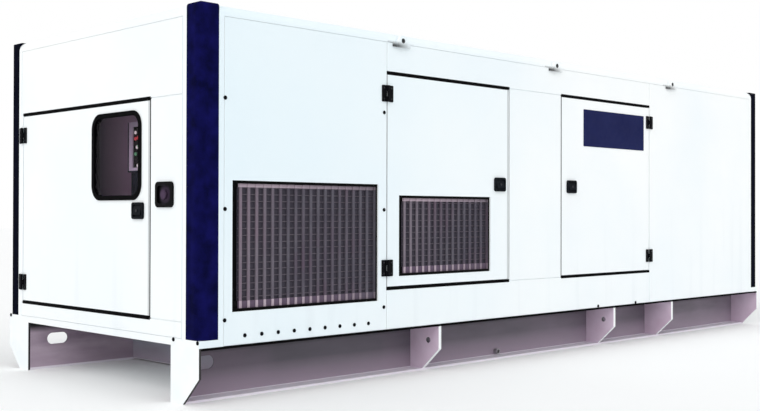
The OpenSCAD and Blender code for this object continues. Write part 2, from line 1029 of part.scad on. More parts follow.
module control_cabinet() {
    y1 = cabinet_y + cabinet_w;
    x1 = cabinet_x + cabinet_t;
    z1 = base_h + cabinet_low;
    color(dark)
        corner() {
            block([cabinet_x + 60, cabinet_y + 30, z_deck], [x1 - 20, y1 - 30, z_deck + 80]);
            difference() {
                block([cabinet_x + 20, cabinet_y + 10, z_deck + 80], [x1, y1 - 10, z1]);
                for (z = [0 : 6])
                    translate([0, 0, z_deck + 140 + z * 36])
                        block([cabinet_x + 19, cabinet_y + 120, 0], [cabinet_x + 26, y1 - 120, 16]);
                block([cabinet_x + 19, (cabinet_y + y1) / 2 - 2, z_deck + 420],
                      [cabinet_x + 24, (cabinet_y + y1) / 2 + 2, z1 - 40]);
            }
            difference() {
                block([cabinet_x, cabinet_y, z1], [x1, y1, z1 + console_h]);
                block([cabinet_x - 1, cabinet_y + console_stile, z1 + console_rail],
                      [cabinet_x + 14, y1 - console_stile, z1 + console_h - console_rail]);
            }
        }
}

// Shape carried along the engine from its outline across Y and Z about the crankshaft.
module along_engine(x0, x1) {
    corner()
        translate([engine_x1 + x0, mid_y, z_crank])
            sideways(x1 - x0)
                children();
}

// Round piece along the engine, given its place about the crankshaft.
module along_round(x0, x1, y, z, r) {
    corner()
        translate([engine_x1 + x0, mid_y + y, z_crank + z])
            rotate([0, 90, 0])
                cylinder(r = r, h = x1 - x0);
}

// Bracket that carries a machine on the beams, on both sides of the crankshaft.
module foot(x0, x1, top) {
    floor_z = foot_z - z_crank;
    for (s = [0, 1])
        along_engine(x0, x1)
            mirror([s, 0])
                polygon([[engine_w / 2 - 110, floor_z], [engine_w / 2 + 130, floor_z],
                         [engine_w / 2 + 130, floor_z + 50], [engine_w / 2 - 10, top],
                         [engine_w / 2 - 110, top]]);
}

module engine() {
    h = engine_w / 2;
    floor_z = foot_z - z_crank;
    color(dark) {
        along_round(-flywheel_l, 0, 0, 0, flywheel_r);
        along_engine(0, engine_l)
            polygon([[100 - h, -250], [h - 100, -250], [h, -60], [h, 200],
                     [h - 140, 360], [140 - h, 360], [-h, 200], [-h, -60]]);
        along_engine(180, engine_l - 180)
            polygon([[120 - h, -250], [h - 120, -250], [h - 170, floor_z], [170 - h, floor_z]]);
        for (s = [-1, 1])
            corner()
                translate([engine_x1, mid_y, z_crank])
                    rotate([-s * bank_lean, 0, 0]) {
                        block([40, -135, 230], [engine_l - 40, 135, 520]);
                        for (i = [0 : floor((engine_l - 80) / station) - 1])
                            block([60 + i * station, -105, 515], [30 + (i + 1) * station, 105, 585]);
                    }
        along_engine(60, engine_l - 60)
            square([120, 880], center = true);
        along_round(320, engine_l - 60, 0, 440, 85);
        for (s = [-1, 1]) {
            along_round(60, engine_l - 100, s * (h + 50), 330, 50);
            along_round(80, 240, s * 225, 560, 100);
            along_round(240, 360, s * 225, 560, 65);
            along_round(820, 1420, s * 150, 660, cleaner_r);
        }
        along_engine(90, 250)
            translate([-320, 400])
                square([640, 100]);
        for (x = [900, 1260])
            along_engine(x, x + 70)
                translate([-200, 400])
                    square([400, 190]);
        along_engine(engine_l, engine_l + 60)
            polygon([[60 - h, -220], [h - 60, -220], [h - 40, 300], [40 - h, 300]]);
        along_round(engine_l + 60, engine_l + 120, 0, 0, 170);
        along_round(engine_l + 60, engine_l + fan_reach, 0, fan_up, 60);
        foot(180, 360, -40);
        foot(engine_l - 360, engine_l - 180, -40);
    }
}

module engine_subframe() {
    color(dark)
        corner()
            translate([engine_x - alternator_l, mid_y, z_deck]) {
                for (s = [0, 1])
                    mirror([0, s, 0])
                        translate([0, engine_w / 2 + 80 - beam_w / 2, 0]) {
                            block([0, 0, 0], [alternator_l + flywheel_l + engine_l, beam_w, beam_h]);
                            for (x = [180, alternator_l - 180, alternator_l + flywheel_l + 270,
                                      alternator_l + flywheel_l + engine_l - 270])
                                translate([x, beam_w / 2, beam_h])
                                    cylinder(r = 42, h = rubber_h);
                        }
                for (x = [60, alternator_l + flywheel_l + engine_l - 160])
                    block([x, -engine_w / 2 - 80 + beam_w / 2, 0],
                          [x + 100, engine_w / 2 + 80 - beam_w / 2, beam_h * 0.6]);
            }
}

module alternator() {
    x0 = -flywheel_l - alternator_l;
    color(dark) {
        along_round(x0, -flywheel_l, 0, 0, alternator_r);
        along_round(x0 - 70, x0, 0, 0, alternator_r - 40);
        along_round(x0 - 100, x0 - 70, 0, 0, 120);
        for (i = [0 : 15])
            corner()
                translate([engine_x1 + x0 + 180, mid_y, z_crank])
                    rotate([i * 22.5, 0, 0])
                        block([0, -9, alternator_r - 10], [alternator_l - 360, 9, alternator_r + 16]);
        along_engine(x0 + 120, -flywheel_l - 160)
            translate([-250, 250])
                square([500, 280]);
        foot(x0 + 90, x0 + 270, -60);
        foot(-flywheel_l - 270, -flywheel_l - 90, -60);
    }
}

module cooling_fan() {
    color(black)
        corner()
            translate([fan_x, mid_y, fan_z])
                rotate([0, 90, 0]) {
                    cylinder(r = 120, h = 90);
                    for (i = [0 : 7])
                        rotate([0, 0, i * 45])
                            translate([100, 0, 45])
                                rotate([35, 0, 0])
                                    block([0, -68, -4], [fan_r - 100, 68, 4]);
                }
}

module radiator() {
    ring_r = fan_r + fan_gap;
    color(dark)
        corner() {
            translate([fan_x - 20, mid_y, fan_z])
                rotate([0, 90, 0]) difference() {
                    cylinder(r = ring_r + 12, h = core_x - fan_x + 20);
                    translate([0, 0, -1])
                        cylinder(r = ring_r, h = core_x - fan_x + 22);
                }
            difference() {
                block([core_x, mid_y - core_w / 2, z_deck], [core_x + 40, mid_y + core_w / 2, core_z]);
                translate([core_x - 1, mid_y, fan_z])
                    rotate([0, 90, 0])
                        cylinder(r = ring_r, h = 31);
            }
            block([core_x + 40, mid_y - core_w / 2 + 40, z_deck],
                  [core_x + core_t, mid_y + core_w / 2 - 40, core_z - 120]);
            translate([core_x + 40, mid_y, core_z - 120])
                block([0, -core_w / 2, 0], [core_t + 30, core_w / 2, 120]);
        }
}

module silencer() {
    x0 = riser_x - 300;
    color(dark)
        corner() {
            translate([x0, silencer_y, silencer_z])
                rotate([0, 90, 0]) {
                    cylinder(r = silencer_r, h = silencer_l);
                    translate([0, 0, -40])
                        cylinder(r = silencer_r * 0.8, h = silencer_l + 80);
                }
            for (x = [x0 + 160, x0 + silencer_l - 220])
                block([x, silencer_y - 30, silencer_z], [x + 60, silencer_y + 30, z_seam]);
            translate([riser_x, mid_y, z_crank + 500]) {
                cylinder(r = pipe_r + 35, h = 20);
                cylinder(r = pipe_r, h = silencer_z - z_crank - 500);
            }
            translate([riser_x, mid_y, silencer_z]) {
                sphere(pipe_r);
                rotate([-90, 0, 0])
                    cylinder(r = pipe_r, h = silencer_y - mid_y);
            }
        }
}

base_rail_front();
base_rail_back();
base_gussets_front();
base_gussets_back();
base_end_plates();
base_cross_members();
base_deck();
drain_coupling();
front_left_panel();
front_intake_grille();
front_middle_panel();
front_right_panel();
front_header();
front_sill();
front_door_frames();
front_hinge_plates();
front_left_door();
front_left_door_grille();
front_left_door_latch();
front_left_door_hinge_leaves();
front_right_door();
front_right_door_latch();
front_right_door_hinge_leaves();
back_wall();
back_grilles();
back_hinges();
back_latches();
control_end_header();
control_end_side_panel();
control_end_sill();
end_door_frame();
end_hinge_plates();
end_door();
window_seal();
window_glass();
end_door_latch();
end_door_hinge_leaves();
stop_button();
radiator_end_panel();
discharge_grille();
corner_posts();
corner_columns();
roof();
lifting_brackets();
control_cabinet();
engine();
engine_subframe();
alternator();
cooling_fan();
radiator();
silencer();
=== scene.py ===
import json
import bmesh
import bpy
import numpy as np
from mathutils import Matrix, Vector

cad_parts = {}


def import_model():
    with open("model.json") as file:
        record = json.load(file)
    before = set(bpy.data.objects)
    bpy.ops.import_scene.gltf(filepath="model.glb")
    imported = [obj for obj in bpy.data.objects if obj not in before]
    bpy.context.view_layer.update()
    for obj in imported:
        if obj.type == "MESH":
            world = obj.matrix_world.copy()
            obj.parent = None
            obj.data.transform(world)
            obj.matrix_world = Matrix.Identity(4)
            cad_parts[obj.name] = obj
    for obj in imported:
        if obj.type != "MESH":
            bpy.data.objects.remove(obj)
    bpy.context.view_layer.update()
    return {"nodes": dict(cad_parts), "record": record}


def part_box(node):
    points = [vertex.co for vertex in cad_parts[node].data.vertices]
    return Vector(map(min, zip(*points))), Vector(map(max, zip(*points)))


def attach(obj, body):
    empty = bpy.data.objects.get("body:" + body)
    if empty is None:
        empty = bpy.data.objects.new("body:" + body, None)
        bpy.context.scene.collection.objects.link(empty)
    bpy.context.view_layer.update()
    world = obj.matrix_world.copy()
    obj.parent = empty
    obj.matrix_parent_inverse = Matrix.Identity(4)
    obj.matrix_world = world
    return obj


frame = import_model()
nodes = frame["nodes"]
scene = bpy.context.scene
scene.view_settings.view_transform = "Standard"
print("frame loaded:", len(nodes), "nodes")


def placing(right, up, back, place=(0.0, 0.0, 0.0)):  # a matrix that turns and moves an object
    placed = np.eye(4)
    placed[:3, 0], placed[:3, 1], placed[:3, 2], placed[:3, 3] = right, up, back, place
    return Matrix(placed.tolist())


view = {
    "place": (-6.5488, -5.9004, 1.0430),  # metres
    "yaw": 45.449, "pitch": 0.397, "roll": 0.134,  # degrees
    "lens": 51.375, "sensor": 36.0,  # millimetres
}
yaw, pitch, roll = np.radians([view["yaw"], view["pitch"], view["roll"]])
ahead = np.array([np.cos(pitch) * np.cos(yaw), np.cos(pitch) * np.sin(yaw), np.sin(pitch)])
sideways = np.array([np.sin(yaw), -np.cos(yaw), 0.0])
upward = np.cross(sideways, ahead)
cameraRight = np.cos(roll) * sideways + np.sin(roll) * upward
cameraUp = np.cos(roll) * upward - np.sin(roll) * sideways
cameraData = bpy.data.cameras.new("photoCamera")
cameraData.sensor_fit = "HORIZONTAL"
cameraData.sensor_width, cameraData.lens = view["sensor"], view["lens"]
camera = bpy.data.objects.new("photoCamera", cameraData)
camera.matrix_world = placing(cameraRight, cameraUp, -ahead, view["place"])
scene.collection.objects.link(camera)
scene.camera = camera


def join(tree, slot, value):  # links a socket to the slot, or sets a plain value there
    if isinstance(value, bpy.types.NodeSocket):
        tree.links.new(value, slot)
    else:
        slot.default_value = value


def put(tree, kind, values=None, **settings):  # one shader node, its sockets given by name or number
    made = tree.nodes.new(kind)
    for key, value in settings.items():
        setattr(made, key, value)
    for key, value in (values or {}).items():
        join(tree, made.inputs[key], value)
    return made


def feed(tree, shader, **sockets):  # links or sets shader sockets by name, with _ for a space
    for key, value in sockets.items():
        join(tree, shader.inputs[key.replace("_", " ")], value)


def worked(tree, operation, *values):  # one Math node
    return put(tree, "ShaderNodeMath", dict(enumerate(values)), operation=operation).outputs[0]


def times(tree, first, second):  # product of two values
    return worked(tree, "MULTIPLY", first, second)


def larger(tree, first, second):  # the larger of two values
    return worked(tree, "MAXIMUM", first, second)


def magnitude(tree, value):  # size of a value without its sign
    return worked(tree, "ABSOLUTE", value)


def split(tree, vector):  # the three parts of a vector
    return put(tree, "ShaderNodeSeparateXYZ", {0: vector}).outputs


def mixed(tree, share, first, second):  # first colour to second colour by share
    return put(tree, "ShaderNodeMix", {0: share, 6: first, 7: second}, data_type="RGBA").outputs[2]


def ranged(tree, value, low, high, toLow=0.0, toHigh=1.0):
    # value from low..high to toLow..toHigh, held at the ends
    return put(tree, "ShaderNodeMapRange", {0: value, 1: low, 2: high, 3: toLow, 4: toHigh}).outputs[0]


def noise(tree, place, scale, detail=3.0, stretch=(1.0, 1.0, 1.0)):
    # cloudy pattern, 0 to 1, stretched along the axes
    spread = put(tree, "ShaderNodeMapping", {"Vector": place, "Scale": stretch}).outputs[0]
    return put(tree, "ShaderNodeTexNoise", {"Vector": spread, "Scale": scale, "Detail": detail}).outputs[0]


def reachFrom(tree, place, keep, middle):  # distance from middle, counted only along the kept axes
    flat = put(tree, "ShaderNodeVectorMath", {0: place, 1: keep}, operation="MULTIPLY").outputs[0]
    return put(tree, "ShaderNodeVectorMath", {0: flat, 1: middle}, operation="DISTANCE").outputs["Value"]


mask = {
    "cloud": (0.3, 0.7),  # where most of a cloudy pattern lies
    "face": (0.4, 0.6),  # a normal's part along an axis, between faces that look across it and along it
    "edge": 0.001, "fine": 0.0006,  # metres over which a border between two colours softens
}


def uneven(tree, cloud, toLow=0.0, toHigh=1.0):  # the middle range of a cloudy pattern to toLow..toHigh
    return ranged(tree, cloud, *mask["cloud"], toLow, toHigh)


def past(tree, value, level):  # 1 past level, 0 before it
    return ranged(tree, value, level - mask["edge"], level)


def before(tree, value, level, share=1.0):  # share before level, 0 past it
    return ranged(tree, value, level - mask["edge"], level, share, 0.0)


def inside(tree, value, low, high):  # 1 between low and high, 0 outside
    soft = mask["fine"]
    rising = ranged(tree, value, low - soft, low + soft)
    return times(tree, rising, ranged(tree, value, high - soft, high + soft, 1.0, 0.0))


def framed(tree, along, height, sides, levels):  # 1 in a rectangle, 0 outside
    return times(tree, inside(tree, along, *sides), inside(tree, height, *levels))


def facing(tree, part):  # 1 on faces that look along the axis, either way
    return ranged(tree, magnitude(tree, part), *mask["face"])


def edgeOn(tree, part):  # 1 on faces that look across the axis
    return ranged(tree, magnitude(tree, part), *mask["face"], 1.0, 0.0)


def facingBack(tree, part):  # 1 on faces that look against the axis
    across, along = mask["face"]
    return ranged(tree, part, -along, -across, 1.0, 0.0)


def startFinish(name):  # an empty material: its tree, its shader and its coordinates
    finish = bpy.data.materials.new(name)
    finish.use_nodes = True
    tree = finish.node_tree
    return finish, tree, tree.nodes["Principled BSDF"], put(tree, "ShaderNodeTexCoord").outputs


def grained(tree, shader, place, scale, strength, depth=0.0006, detail=2.0):  # fine cloudy bump
    height = noise(tree, place, scale, detail)
    bump = put(tree, "ShaderNodeBump", {"Height": height, "Strength": strength, "Distance": depth})
    tree.links.new(bump.outputs[0], shader.inputs["Normal"])


def tone(red, green, blue):  # a screen colour, 0 to 255, as the linear colour a socket takes
    share = np.array([red, green, blue]) / 255.0
    linear = np.where(share <= 0.04045, share / 12.92, ((share + 0.055) / 1.055) ** 2.4)
    return (*(float(c) for c in linear), 1.0)


studio = {
    "fill": 0.71, "fillColour": (0.972, 0.99, 1.0, 1.0), "backdrop": (1.0, 1.0, 1.0, 1.0),
    "key": 1.12, "keyFrom": (-0.80, -0.42, 0.62), "keyAngle": 50.0, "keyColour": (1.0, 0.985, 0.965),
    "rim": 0.35, "rimFrom": (0.45, -0.75, 0.75), "rimAngle": 70.0, "rimColour": (1.0, 1.0, 1.0),
    "cabin": 0.8, "cabinAt": (-2.16, 0.52, 1.44), "cabinSize": 0.08, "cabinColour": (1.0, 0.96, 1.0),
    "floorReach": 60.0, "floorRows": 9, "floorColour": (1.0, 1.0, 1.0, 1.0),
    "floorShade": (0.98, 0.98, 0.985, 1.0), "floorCloud": 0.6, "floorRough": 0.9,
}
world = bpy.data.worlds.new("studioWorld")
world.use_nodes = True
scene.world = world
tree = world.node_tree
tree.nodes.clear()
rays = put(tree, "ShaderNodeLightPath").outputs
seen = larger(tree, rays["Is Camera Ray"], rays["Is Glossy Ray"])
seen = larger(tree, seen, rays["Is Transmission Ray"])
fill = put(tree, "ShaderNodeBackground", {"Color": studio["fillColour"], "Strength": studio["fill"]})
white = put(tree, "ShaderNodeBackground", {"Color": studio["backdrop"], "Strength": 1.0})
both = put(tree, "ShaderNodeMixShader", {0: seen, 1: fill.outputs[0], 2: white.outputs[0]})
put(tree, "ShaderNodeOutputWorld", {"Surface": both.outputs[0]})


def softLamp(name):  # a broad far lamp that shines from its origin towards the middle
    lamp = bpy.data.lights.new(name + "Lamp", "SUN")
    lamp.energy, lamp.color = studio[name], studio[name + "Colour"]
    lamp.angle = np.radians(studio[name + "Angle"])
    holder = bpy.data.objects.new(name + "Lamp", lamp)
    away = np.array(studio[name + "From"]) / np.linalg.norm(studio[name + "From"])
    flat = np.cross((0.0, 0.0, 1.0), away)
    flat /= np.linalg.norm(flat)
    holder.matrix_world = placing(flat, np.cross(away, flat), away)
    scene.collection.objects.link(holder)


softLamp("key")
softLamp("rim")
cabinLamp = bpy.data.lights.new("cabinLamp", "POINT")  # weak, behind the console: the window isn't black
cabinLamp.energy, cabinLamp.color = studio["cabin"], studio["cabinColour"]
cabinLamp.shadow_soft_size = studio["cabinSize"]
cabinHolder = bpy.data.objects.new("cabinLamp", cabinLamp)
cabinHolder.location = studio["cabinAt"]
cabinHolder.visible_camera = cabinHolder.visible_glossy = False
scene.collection.objects.link(cabinHolder)
print("camera and lamps set")


def surface(name, grids, wrap=False, smooth=True):
    # grids is copies x rows x columns x 3: each cell between neighbouring rows and columns is one face,
    # and wrap joins the last column to the first
    grids = np.asarray(grids, float)
    copies, rows, columns = grids.shape[:3]
    u, v = np.meshgrid(np.arange(rows - 1), np.arange(columns if wrap else columns - 1), indexing="ij")
    here, there = v, (v + 1) % columns
    corners = [u * columns + here, (u + 1) * columns + here, (u + 1) * columns + there, u * columns + there]
    cell = np.stack(corners, -1).reshape(-1, 4)
    faces = (cell[None] + (np.arange(copies) * rows * columns)[:, None, None]).reshape(-1, 4)
    mesh = bpy.data.meshes.new(name)
    mesh.vertices.add(copies * rows * columns)
    mesh.vertices.foreach_set("co", grids.reshape(-1))
    mesh.loops.add(faces.size)
    mesh.loops.foreach_set("vertex_index", faces.reshape(-1))
    mesh.polygons.add(len(faces))
    mesh.polygons.foreach_set("loop_start", np.arange(len(faces)) * 4)
    mesh.update(calc_edges=True)
    work = bmesh.new()
    work.from_mesh(mesh)
    bmesh.ops.remove_doubles(work, verts=work.verts, dist=1e-6)
    bmesh.ops.dissolve_degenerate(work, edges=work.edges, dist=1e-7)
    bmesh.ops.recalc_face_normals(work, faces=work.faces)
    if work.calc_volume(signed=True) < 0:  # a thin board can come out turned inwards
        bmesh.ops.reverse_faces(work, faces=work.faces)
    work.to_mesh(mesh)
    work.free()
    mesh.polygons.foreach_set("use_smooth", np.full(len(mesh.polygons), smooth))
    obj = bpy.data.objects.new(name, mesh)
    scene.collection.objects.link(obj)
    return obj


def dress(obj, finish, body):  # material and CAD body of a new piece
    obj.data.materials.append(finish)
    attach(obj, body)


def add(name, grids, finish, body, smooth=True):  # a finished piece whose rows close on themselves
    dress(surface(name, grids, wrap=True, smooth=smooth), finish, body)


steep = 0.9  # a direction that rises more than this counts as upright


def turned(profile, places, out, count=16):
    # profile rows are (radius, height): each row is a circle, and the height runs along out from each place
    profile, places, out = np.asarray(profile, float), np.atleast_2d(places), np.asarray(out, float)
    first = np.cross(out, (0.0, 0.0, 1.0) if abs(out[2]) < steep else (1.0, 0.0, 0.0))
    first /= np.linalg.norm(first)
    second = np.cross(out, first)
    angle = np.linspace(0, 2 * np.pi, count, endpoint=False)
    ring = np.cos(angle)[:, None] * first + np.sin(angle)[:, None] * second
    shape = profile[:, 0, None, None] * ring[None] + profile[:, 1, None, None] * out
    return places[:, None, None, :] + shape[None]


def roundOutline(width, height, radius, count=8):
    # a rectangle with circular corners, walked once round: corner centre plus radius times the unit circle
    angle = np.linspace(0, np.pi / 2, count)
    starts = np.arange(4) * np.pi / 2
    centre = np.array([(1, 1), (-1, 1), (-1, -1), (1, -1)]) * (np.array([width, height]) / 2 - radius)
    turn = starts[:, None] + angle
    return (centre[:, None] + radius * np.stack([np.cos(turn), np.sin(turn)], -1)).reshape(-1, 2)


def plate(place, right, up, width, height, radius, thick, edge):
    # rings of a rounded rectangle: base, wall, softened edge, then the face, both closed at their middles
    out = np.cross(right, up)
    knee, least = 0.3 * edge, 0.2 * edge  # where the softened edge bends, and the smallest corner radius
    rows = []
    for inset, lift in [(0.0, 0.0), (0.0, thick - edge), (knee, thick - knee), (edge, thick)]:
        line = roundOutline(width - 2 * inset, height - 2 * inset, max(radius - inset, least))
        rows.append(line[:, :1] * right + line[:, 1:] * up + lift * out)
    rows.append(np.zeros_like(rows[0]) + thick * out)
    rows.insert(0, np.zeros_like(rows[0]))
    return np.asarray(place)[None, None, None] + np.array(rows)[None]


def tube(paths, radius, count):
    # paths is copies x points x 3: a circle of the given radius is carried along each, square to its run,
    # and the ends are closed
    paths = np.asarray(paths, float)
    run = np.gradient(paths, axis=1)
    run /= np.linalg.norm(run, axis=-1, keepdims=True)
    helper = np.where(np.abs(run[..., 2:]) < steep, np.array([0.0, 0.0, 1.0]), np.array([0.0, 1.0, 0.0]))
    first = np.cross(run, helper)
    first /= np.linalg.norm(first, axis=-1, keepdims=True)
    second = np.cross(run, first)
    angle = np.linspace(0, 2 * np.pi, count, endpoint=False)[:, None]
    ring = np.cos(angle) * first[..., None, :] + np.sin(angle) * second[..., None, :]
    caps = np.repeat(paths[:, [0, -1], None, :], count, 2)
    return np.concatenate([caps[:, :1], paths[..., None, :] + radius * ring, caps[:, 1:]], 1)


def strips(outline, starts, ends, first, second):
    # an outline in the plane of first and second, carried straight from each start to its end,
    # and closed at both
    ring = outline[:, :1] * first + outline[:, 1:] * second
    starts, ends = np.atleast_2d(starts)[:, None], np.atleast_2d(ends)[:, None]
    return np.stack([starts + 0 * ring, starts + ring, ends + ring, ends + 0 * ring], 1)


def domeHead(radius, height, count=5):
    # screw head: flat base, short wall, then a dome whose height rises as a quarter ellipse
    wall = 0.35  # share of the height under the dome
    angle = np.linspace(0, np.pi / 2, count)
    dome = np.stack([radius * np.cos(angle), height * (wall + (1 - wall) * np.sin(angle))], -1)
    return np.concatenate([[(0.0, 0.0), (radius, 0.0)], dome])


# shady is a painted cool shade for the long sides, and the last near-black colour is painted shade
paint = {
    "white": tone(248, 250, 250), "cool": tone(240, 246, 249), "dust": tone(214, 222, 228),
    "cloud": 0.9, "cloudSpan": (0.35, 0.7),
    "shady": tone(214, 236, 246), "shadyFrom": -3.2, "shadyTo": 0.4, "shadyShare": 0.6,
    "dustLow": 0.36, "dustHigh": 1.25, "coolCloud": 2.2, "coolSpan": (0.3, 0.75), "coolShare": (0.1, 0.55),
    "streak": 9.0, "streakStretch": (1.0, 1.0, 0.06), "streakSpan": (0.55, 0.8), "streakShare": 0.35,
    "glossCloud": 14.0, "gloss": (0.36, 0.48), "bend": 1.46, "peelScale": 420.0, "peel": 0.12,
    "seal": tone(14, 14, 17),
}


def whitePaintFinish(name, darkParts=None, darkTint=None):
    # powder coat: cloudy tint, cooler and dustier towards the base, a painted cool shade on the long sides
    # towards the control end, faint rain streaks, fine orange peel; darkParts gives the share of another
    # colour, which is the near-black of painted shade unless darkTint works it out
    finish, tree, shader, coords = startFinish(name)
    place = coords["Object"]
    where, faces = split(tree, place), split(tree, coords["Normal"])
    cloud = ranged(tree, noise(tree, place, paint["cloud"], detail=4.0), *paint["cloudSpan"])
    base = mixed(tree, cloud, paint["white"], paint["cool"])
    # painted shade: the long sides turn a cooler, shaded white towards the control end
    shady = ranged(tree, where[0], paint["shadyFrom"], paint["shadyTo"], paint["shadyShare"], 0.0)
    base = mixed(tree, times(tree, shady, facing(tree, faces[1])), base, paint["shady"])
    low = ranged(tree, where[2], paint["dustLow"], paint["dustHigh"], 1.0, 0.0)
    cool = ranged(tree, noise(tree, place, paint["coolCloud"]), *paint["coolSpan"], *paint["coolShare"])
    base = mixed(tree, times(tree, low, cool), base, paint["cool"])
    streak = noise(tree, place, paint["streak"], detail=4.0, stretch=paint["streakStretch"])
    streak = ranged(tree, streak, *paint["streakSpan"], 0.0, paint["streakShare"])
    base = mixed(tree, times(tree, low, streak), base, paint["dust"])
    if darkParts:
        # without darkTint the dark parts take the near-black of painted shade
        tint = darkTint(tree, where) if darkTint else paint["seal"]
        base = mixed(tree, darkParts(tree, place, where, faces), base, tint)
    gloss = uneven(tree, noise(tree, place, paint["glossCloud"], detail=4.0), *paint["gloss"])
    feed(tree, shader, Base_Color=base, Roughness=gloss, IOR=paint["bend"])
    grained(tree, shader, place, paint["peelScale"], paint["peel"])
    return finish


speckle = {
    "scale": 160.0, "span": (0.45, 0.75), "share": 0.35, "cloudSpan": (0.32, 0.7),
    "glossCloud": 22.0, "smoother": 0.06, "rougher": 0.08, "grain": 520.0,
}


def plainPaintFinish(name, colour, second, rough, peel=0.1, scale=3.0, shine=0.5, metal=0.0):
    # painted or moulded surface: two close colours in soft clouds, fine speck and grain, uneven gloss
    finish, tree, shader, coords = startFinish(name)
    place = coords["Object"]
    cloud = ranged(tree, noise(tree, place, scale, detail=5.0), *speckle["cloudSpan"])
    speck = noise(tree, place, speckle["scale"], detail=2.0)
    speck = ranged(tree, speck, *speckle["span"], 0.0, speckle["share"])
    base = mixed(tree, speck, mixed(tree, cloud, tone(*colour), tone(*second)), tone(*second))
    gloss = noise(tree, place, speckle["glossCloud"])
    gloss = uneven(tree, gloss, rough - speckle["smoother"], rough + speckle["rougher"])
    feed(tree, shader, Base_Color=base, Roughness=gloss, Specular_IOR_Level=shine, Metallic=metal)
    grained(tree, shader, place, speckle["grain"], peel)
    return finish


plainPaints = {  # name, two close screen colours, roughness, grain, cloud scale, gloss, metal
    "frame_dark": ("darkPrimer", (24, 24, 27), (36, 36, 40), 0.62, 0.1, 3.0, 0.2),
    "black_steel": ("blackSteel", (4, 4, 7), (12, 12, 17), 0.52, 0.14, 18.0, 0.05),
    "black_plastic": ("blackMoulding", (8, 11, 16), (17, 22, 29), 0.56, 0.22, 24.0, 0.06),
    "seal_rubber": ("sealRubber", (6, 6, 7), (13, 13, 14), 0.8, 0.2, 30.0, 0.03),
    "engine_paint": ("enginePaint", (92, 98, 104), (112, 118, 122), 0.44, 0.16, 6.0, 0.4),
    "machine_dark": ("radiatorBlack", (38, 38, 41), (56, 55, 57), 0.58, 0.2, 5.0, 0.3),
    "zinc_steel": ("zincSteel", (150, 146, 152), (186, 184, 188), 0.38, 0.2, 30.0, 0.5, 0.8),
}
finishes = {slot: plainPaintFinish(*row) for slot, row in plainPaints.items()}
finishes["white_paint"] = whitePaintFinish("whitePowderCoat")

# deep is painted shade for the posts away from the near corner
post = {
    "navy": tone(8, 9, 46), "lighter": tone(17, 17, 77), "deep": tone(4, 6, 15), "deepShare": 0.93,
    "mottle": 13.0, "mottleSpan": (0.34, 0.68), "speckSpan": (0.5, 0.75), "speckShare": 0.4,
    "farX": (0.0, 2.0), "farY": (-0.5, 0.5), "gloss": (0.58, 0.72), "shine": 0.012, "grain": 0.1,
}


def postFinish():
    # navy coat in soft mottles with a fine speck; painted shade makes the posts away from the near corner
    # deeper
    finish, tree, shader, coords = startFinish("navyPaint")
    place = coords["Object"]
    where = split(tree, place)
    mottle = ranged(tree, noise(tree, place, post["mottle"], detail=5.0), *post["mottleSpan"])
    base = mixed(tree, mottle, post["navy"], post["lighter"])
    speck = noise(tree, place, speckle["scale"], detail=2.0)
    speck = ranged(tree, speck, *post["speckSpan"], 0.0, post["speckShare"])
    base = mixed(tree, speck, base, post["lighter"])
    # painted shade: the posts away from the near corner turn nearly black
    away = larger(tree, ranged(tree, where[0], *post["farX"]), ranged(tree, where[1], *post["farY"]))
    base = mixed(tree, times(tree, away, post["deepShare"]), base, post["deep"])
    gloss = uneven(tree, noise(tree, place, speckle["glossCloud"]), *post["gloss"])
    feed(tree, shader, Base_Color=base, Roughness=gloss, Specular_IOR_Level=post["shine"])
    grained(tree, shader, place, speckle["grain"], post["grain"])
    return finish


finishes["navy_paint"] = postFinish()
print("plain finishes made")

# the far web, inside, low and flange colours stand for painted light, and shade for painted shade
skid = {
    "web": tone(104, 97, 108), "webFar": tone(136, 125, 138), "farSpan": (-1.5, 2.5),
    "webDark": tone(80, 76, 85), "darkShare": 0.7, "streak": 3.0, "streakStretch": (0.5, 0.5, 2.0),
    "inwards": (-0.4, -0.2),
    "low": tone(186, 167, 185), "lowTo": 0.16, "lowShare": 0.7,
    "stain": tone(122, 105, 122), "stainCloud": 1.4, "stainSpan": (0.5, 0.75), "stainShare": 0.5,
    "inside": tone(199, 182, 197), "cross": tone(176, 180, 192), "gloss": (0.44, 0.6), "shine": 0.3,
    "flange": tone(232, 226, 236), "flangeSpan": (0.0135, 0.0175),
    "shade": tone(22, 21, 24), "shadeSpan": (0.244, 0.288),
    "grain": 180.0, "grainStrength": 0.15, "grainDepth": 0.0008,
}


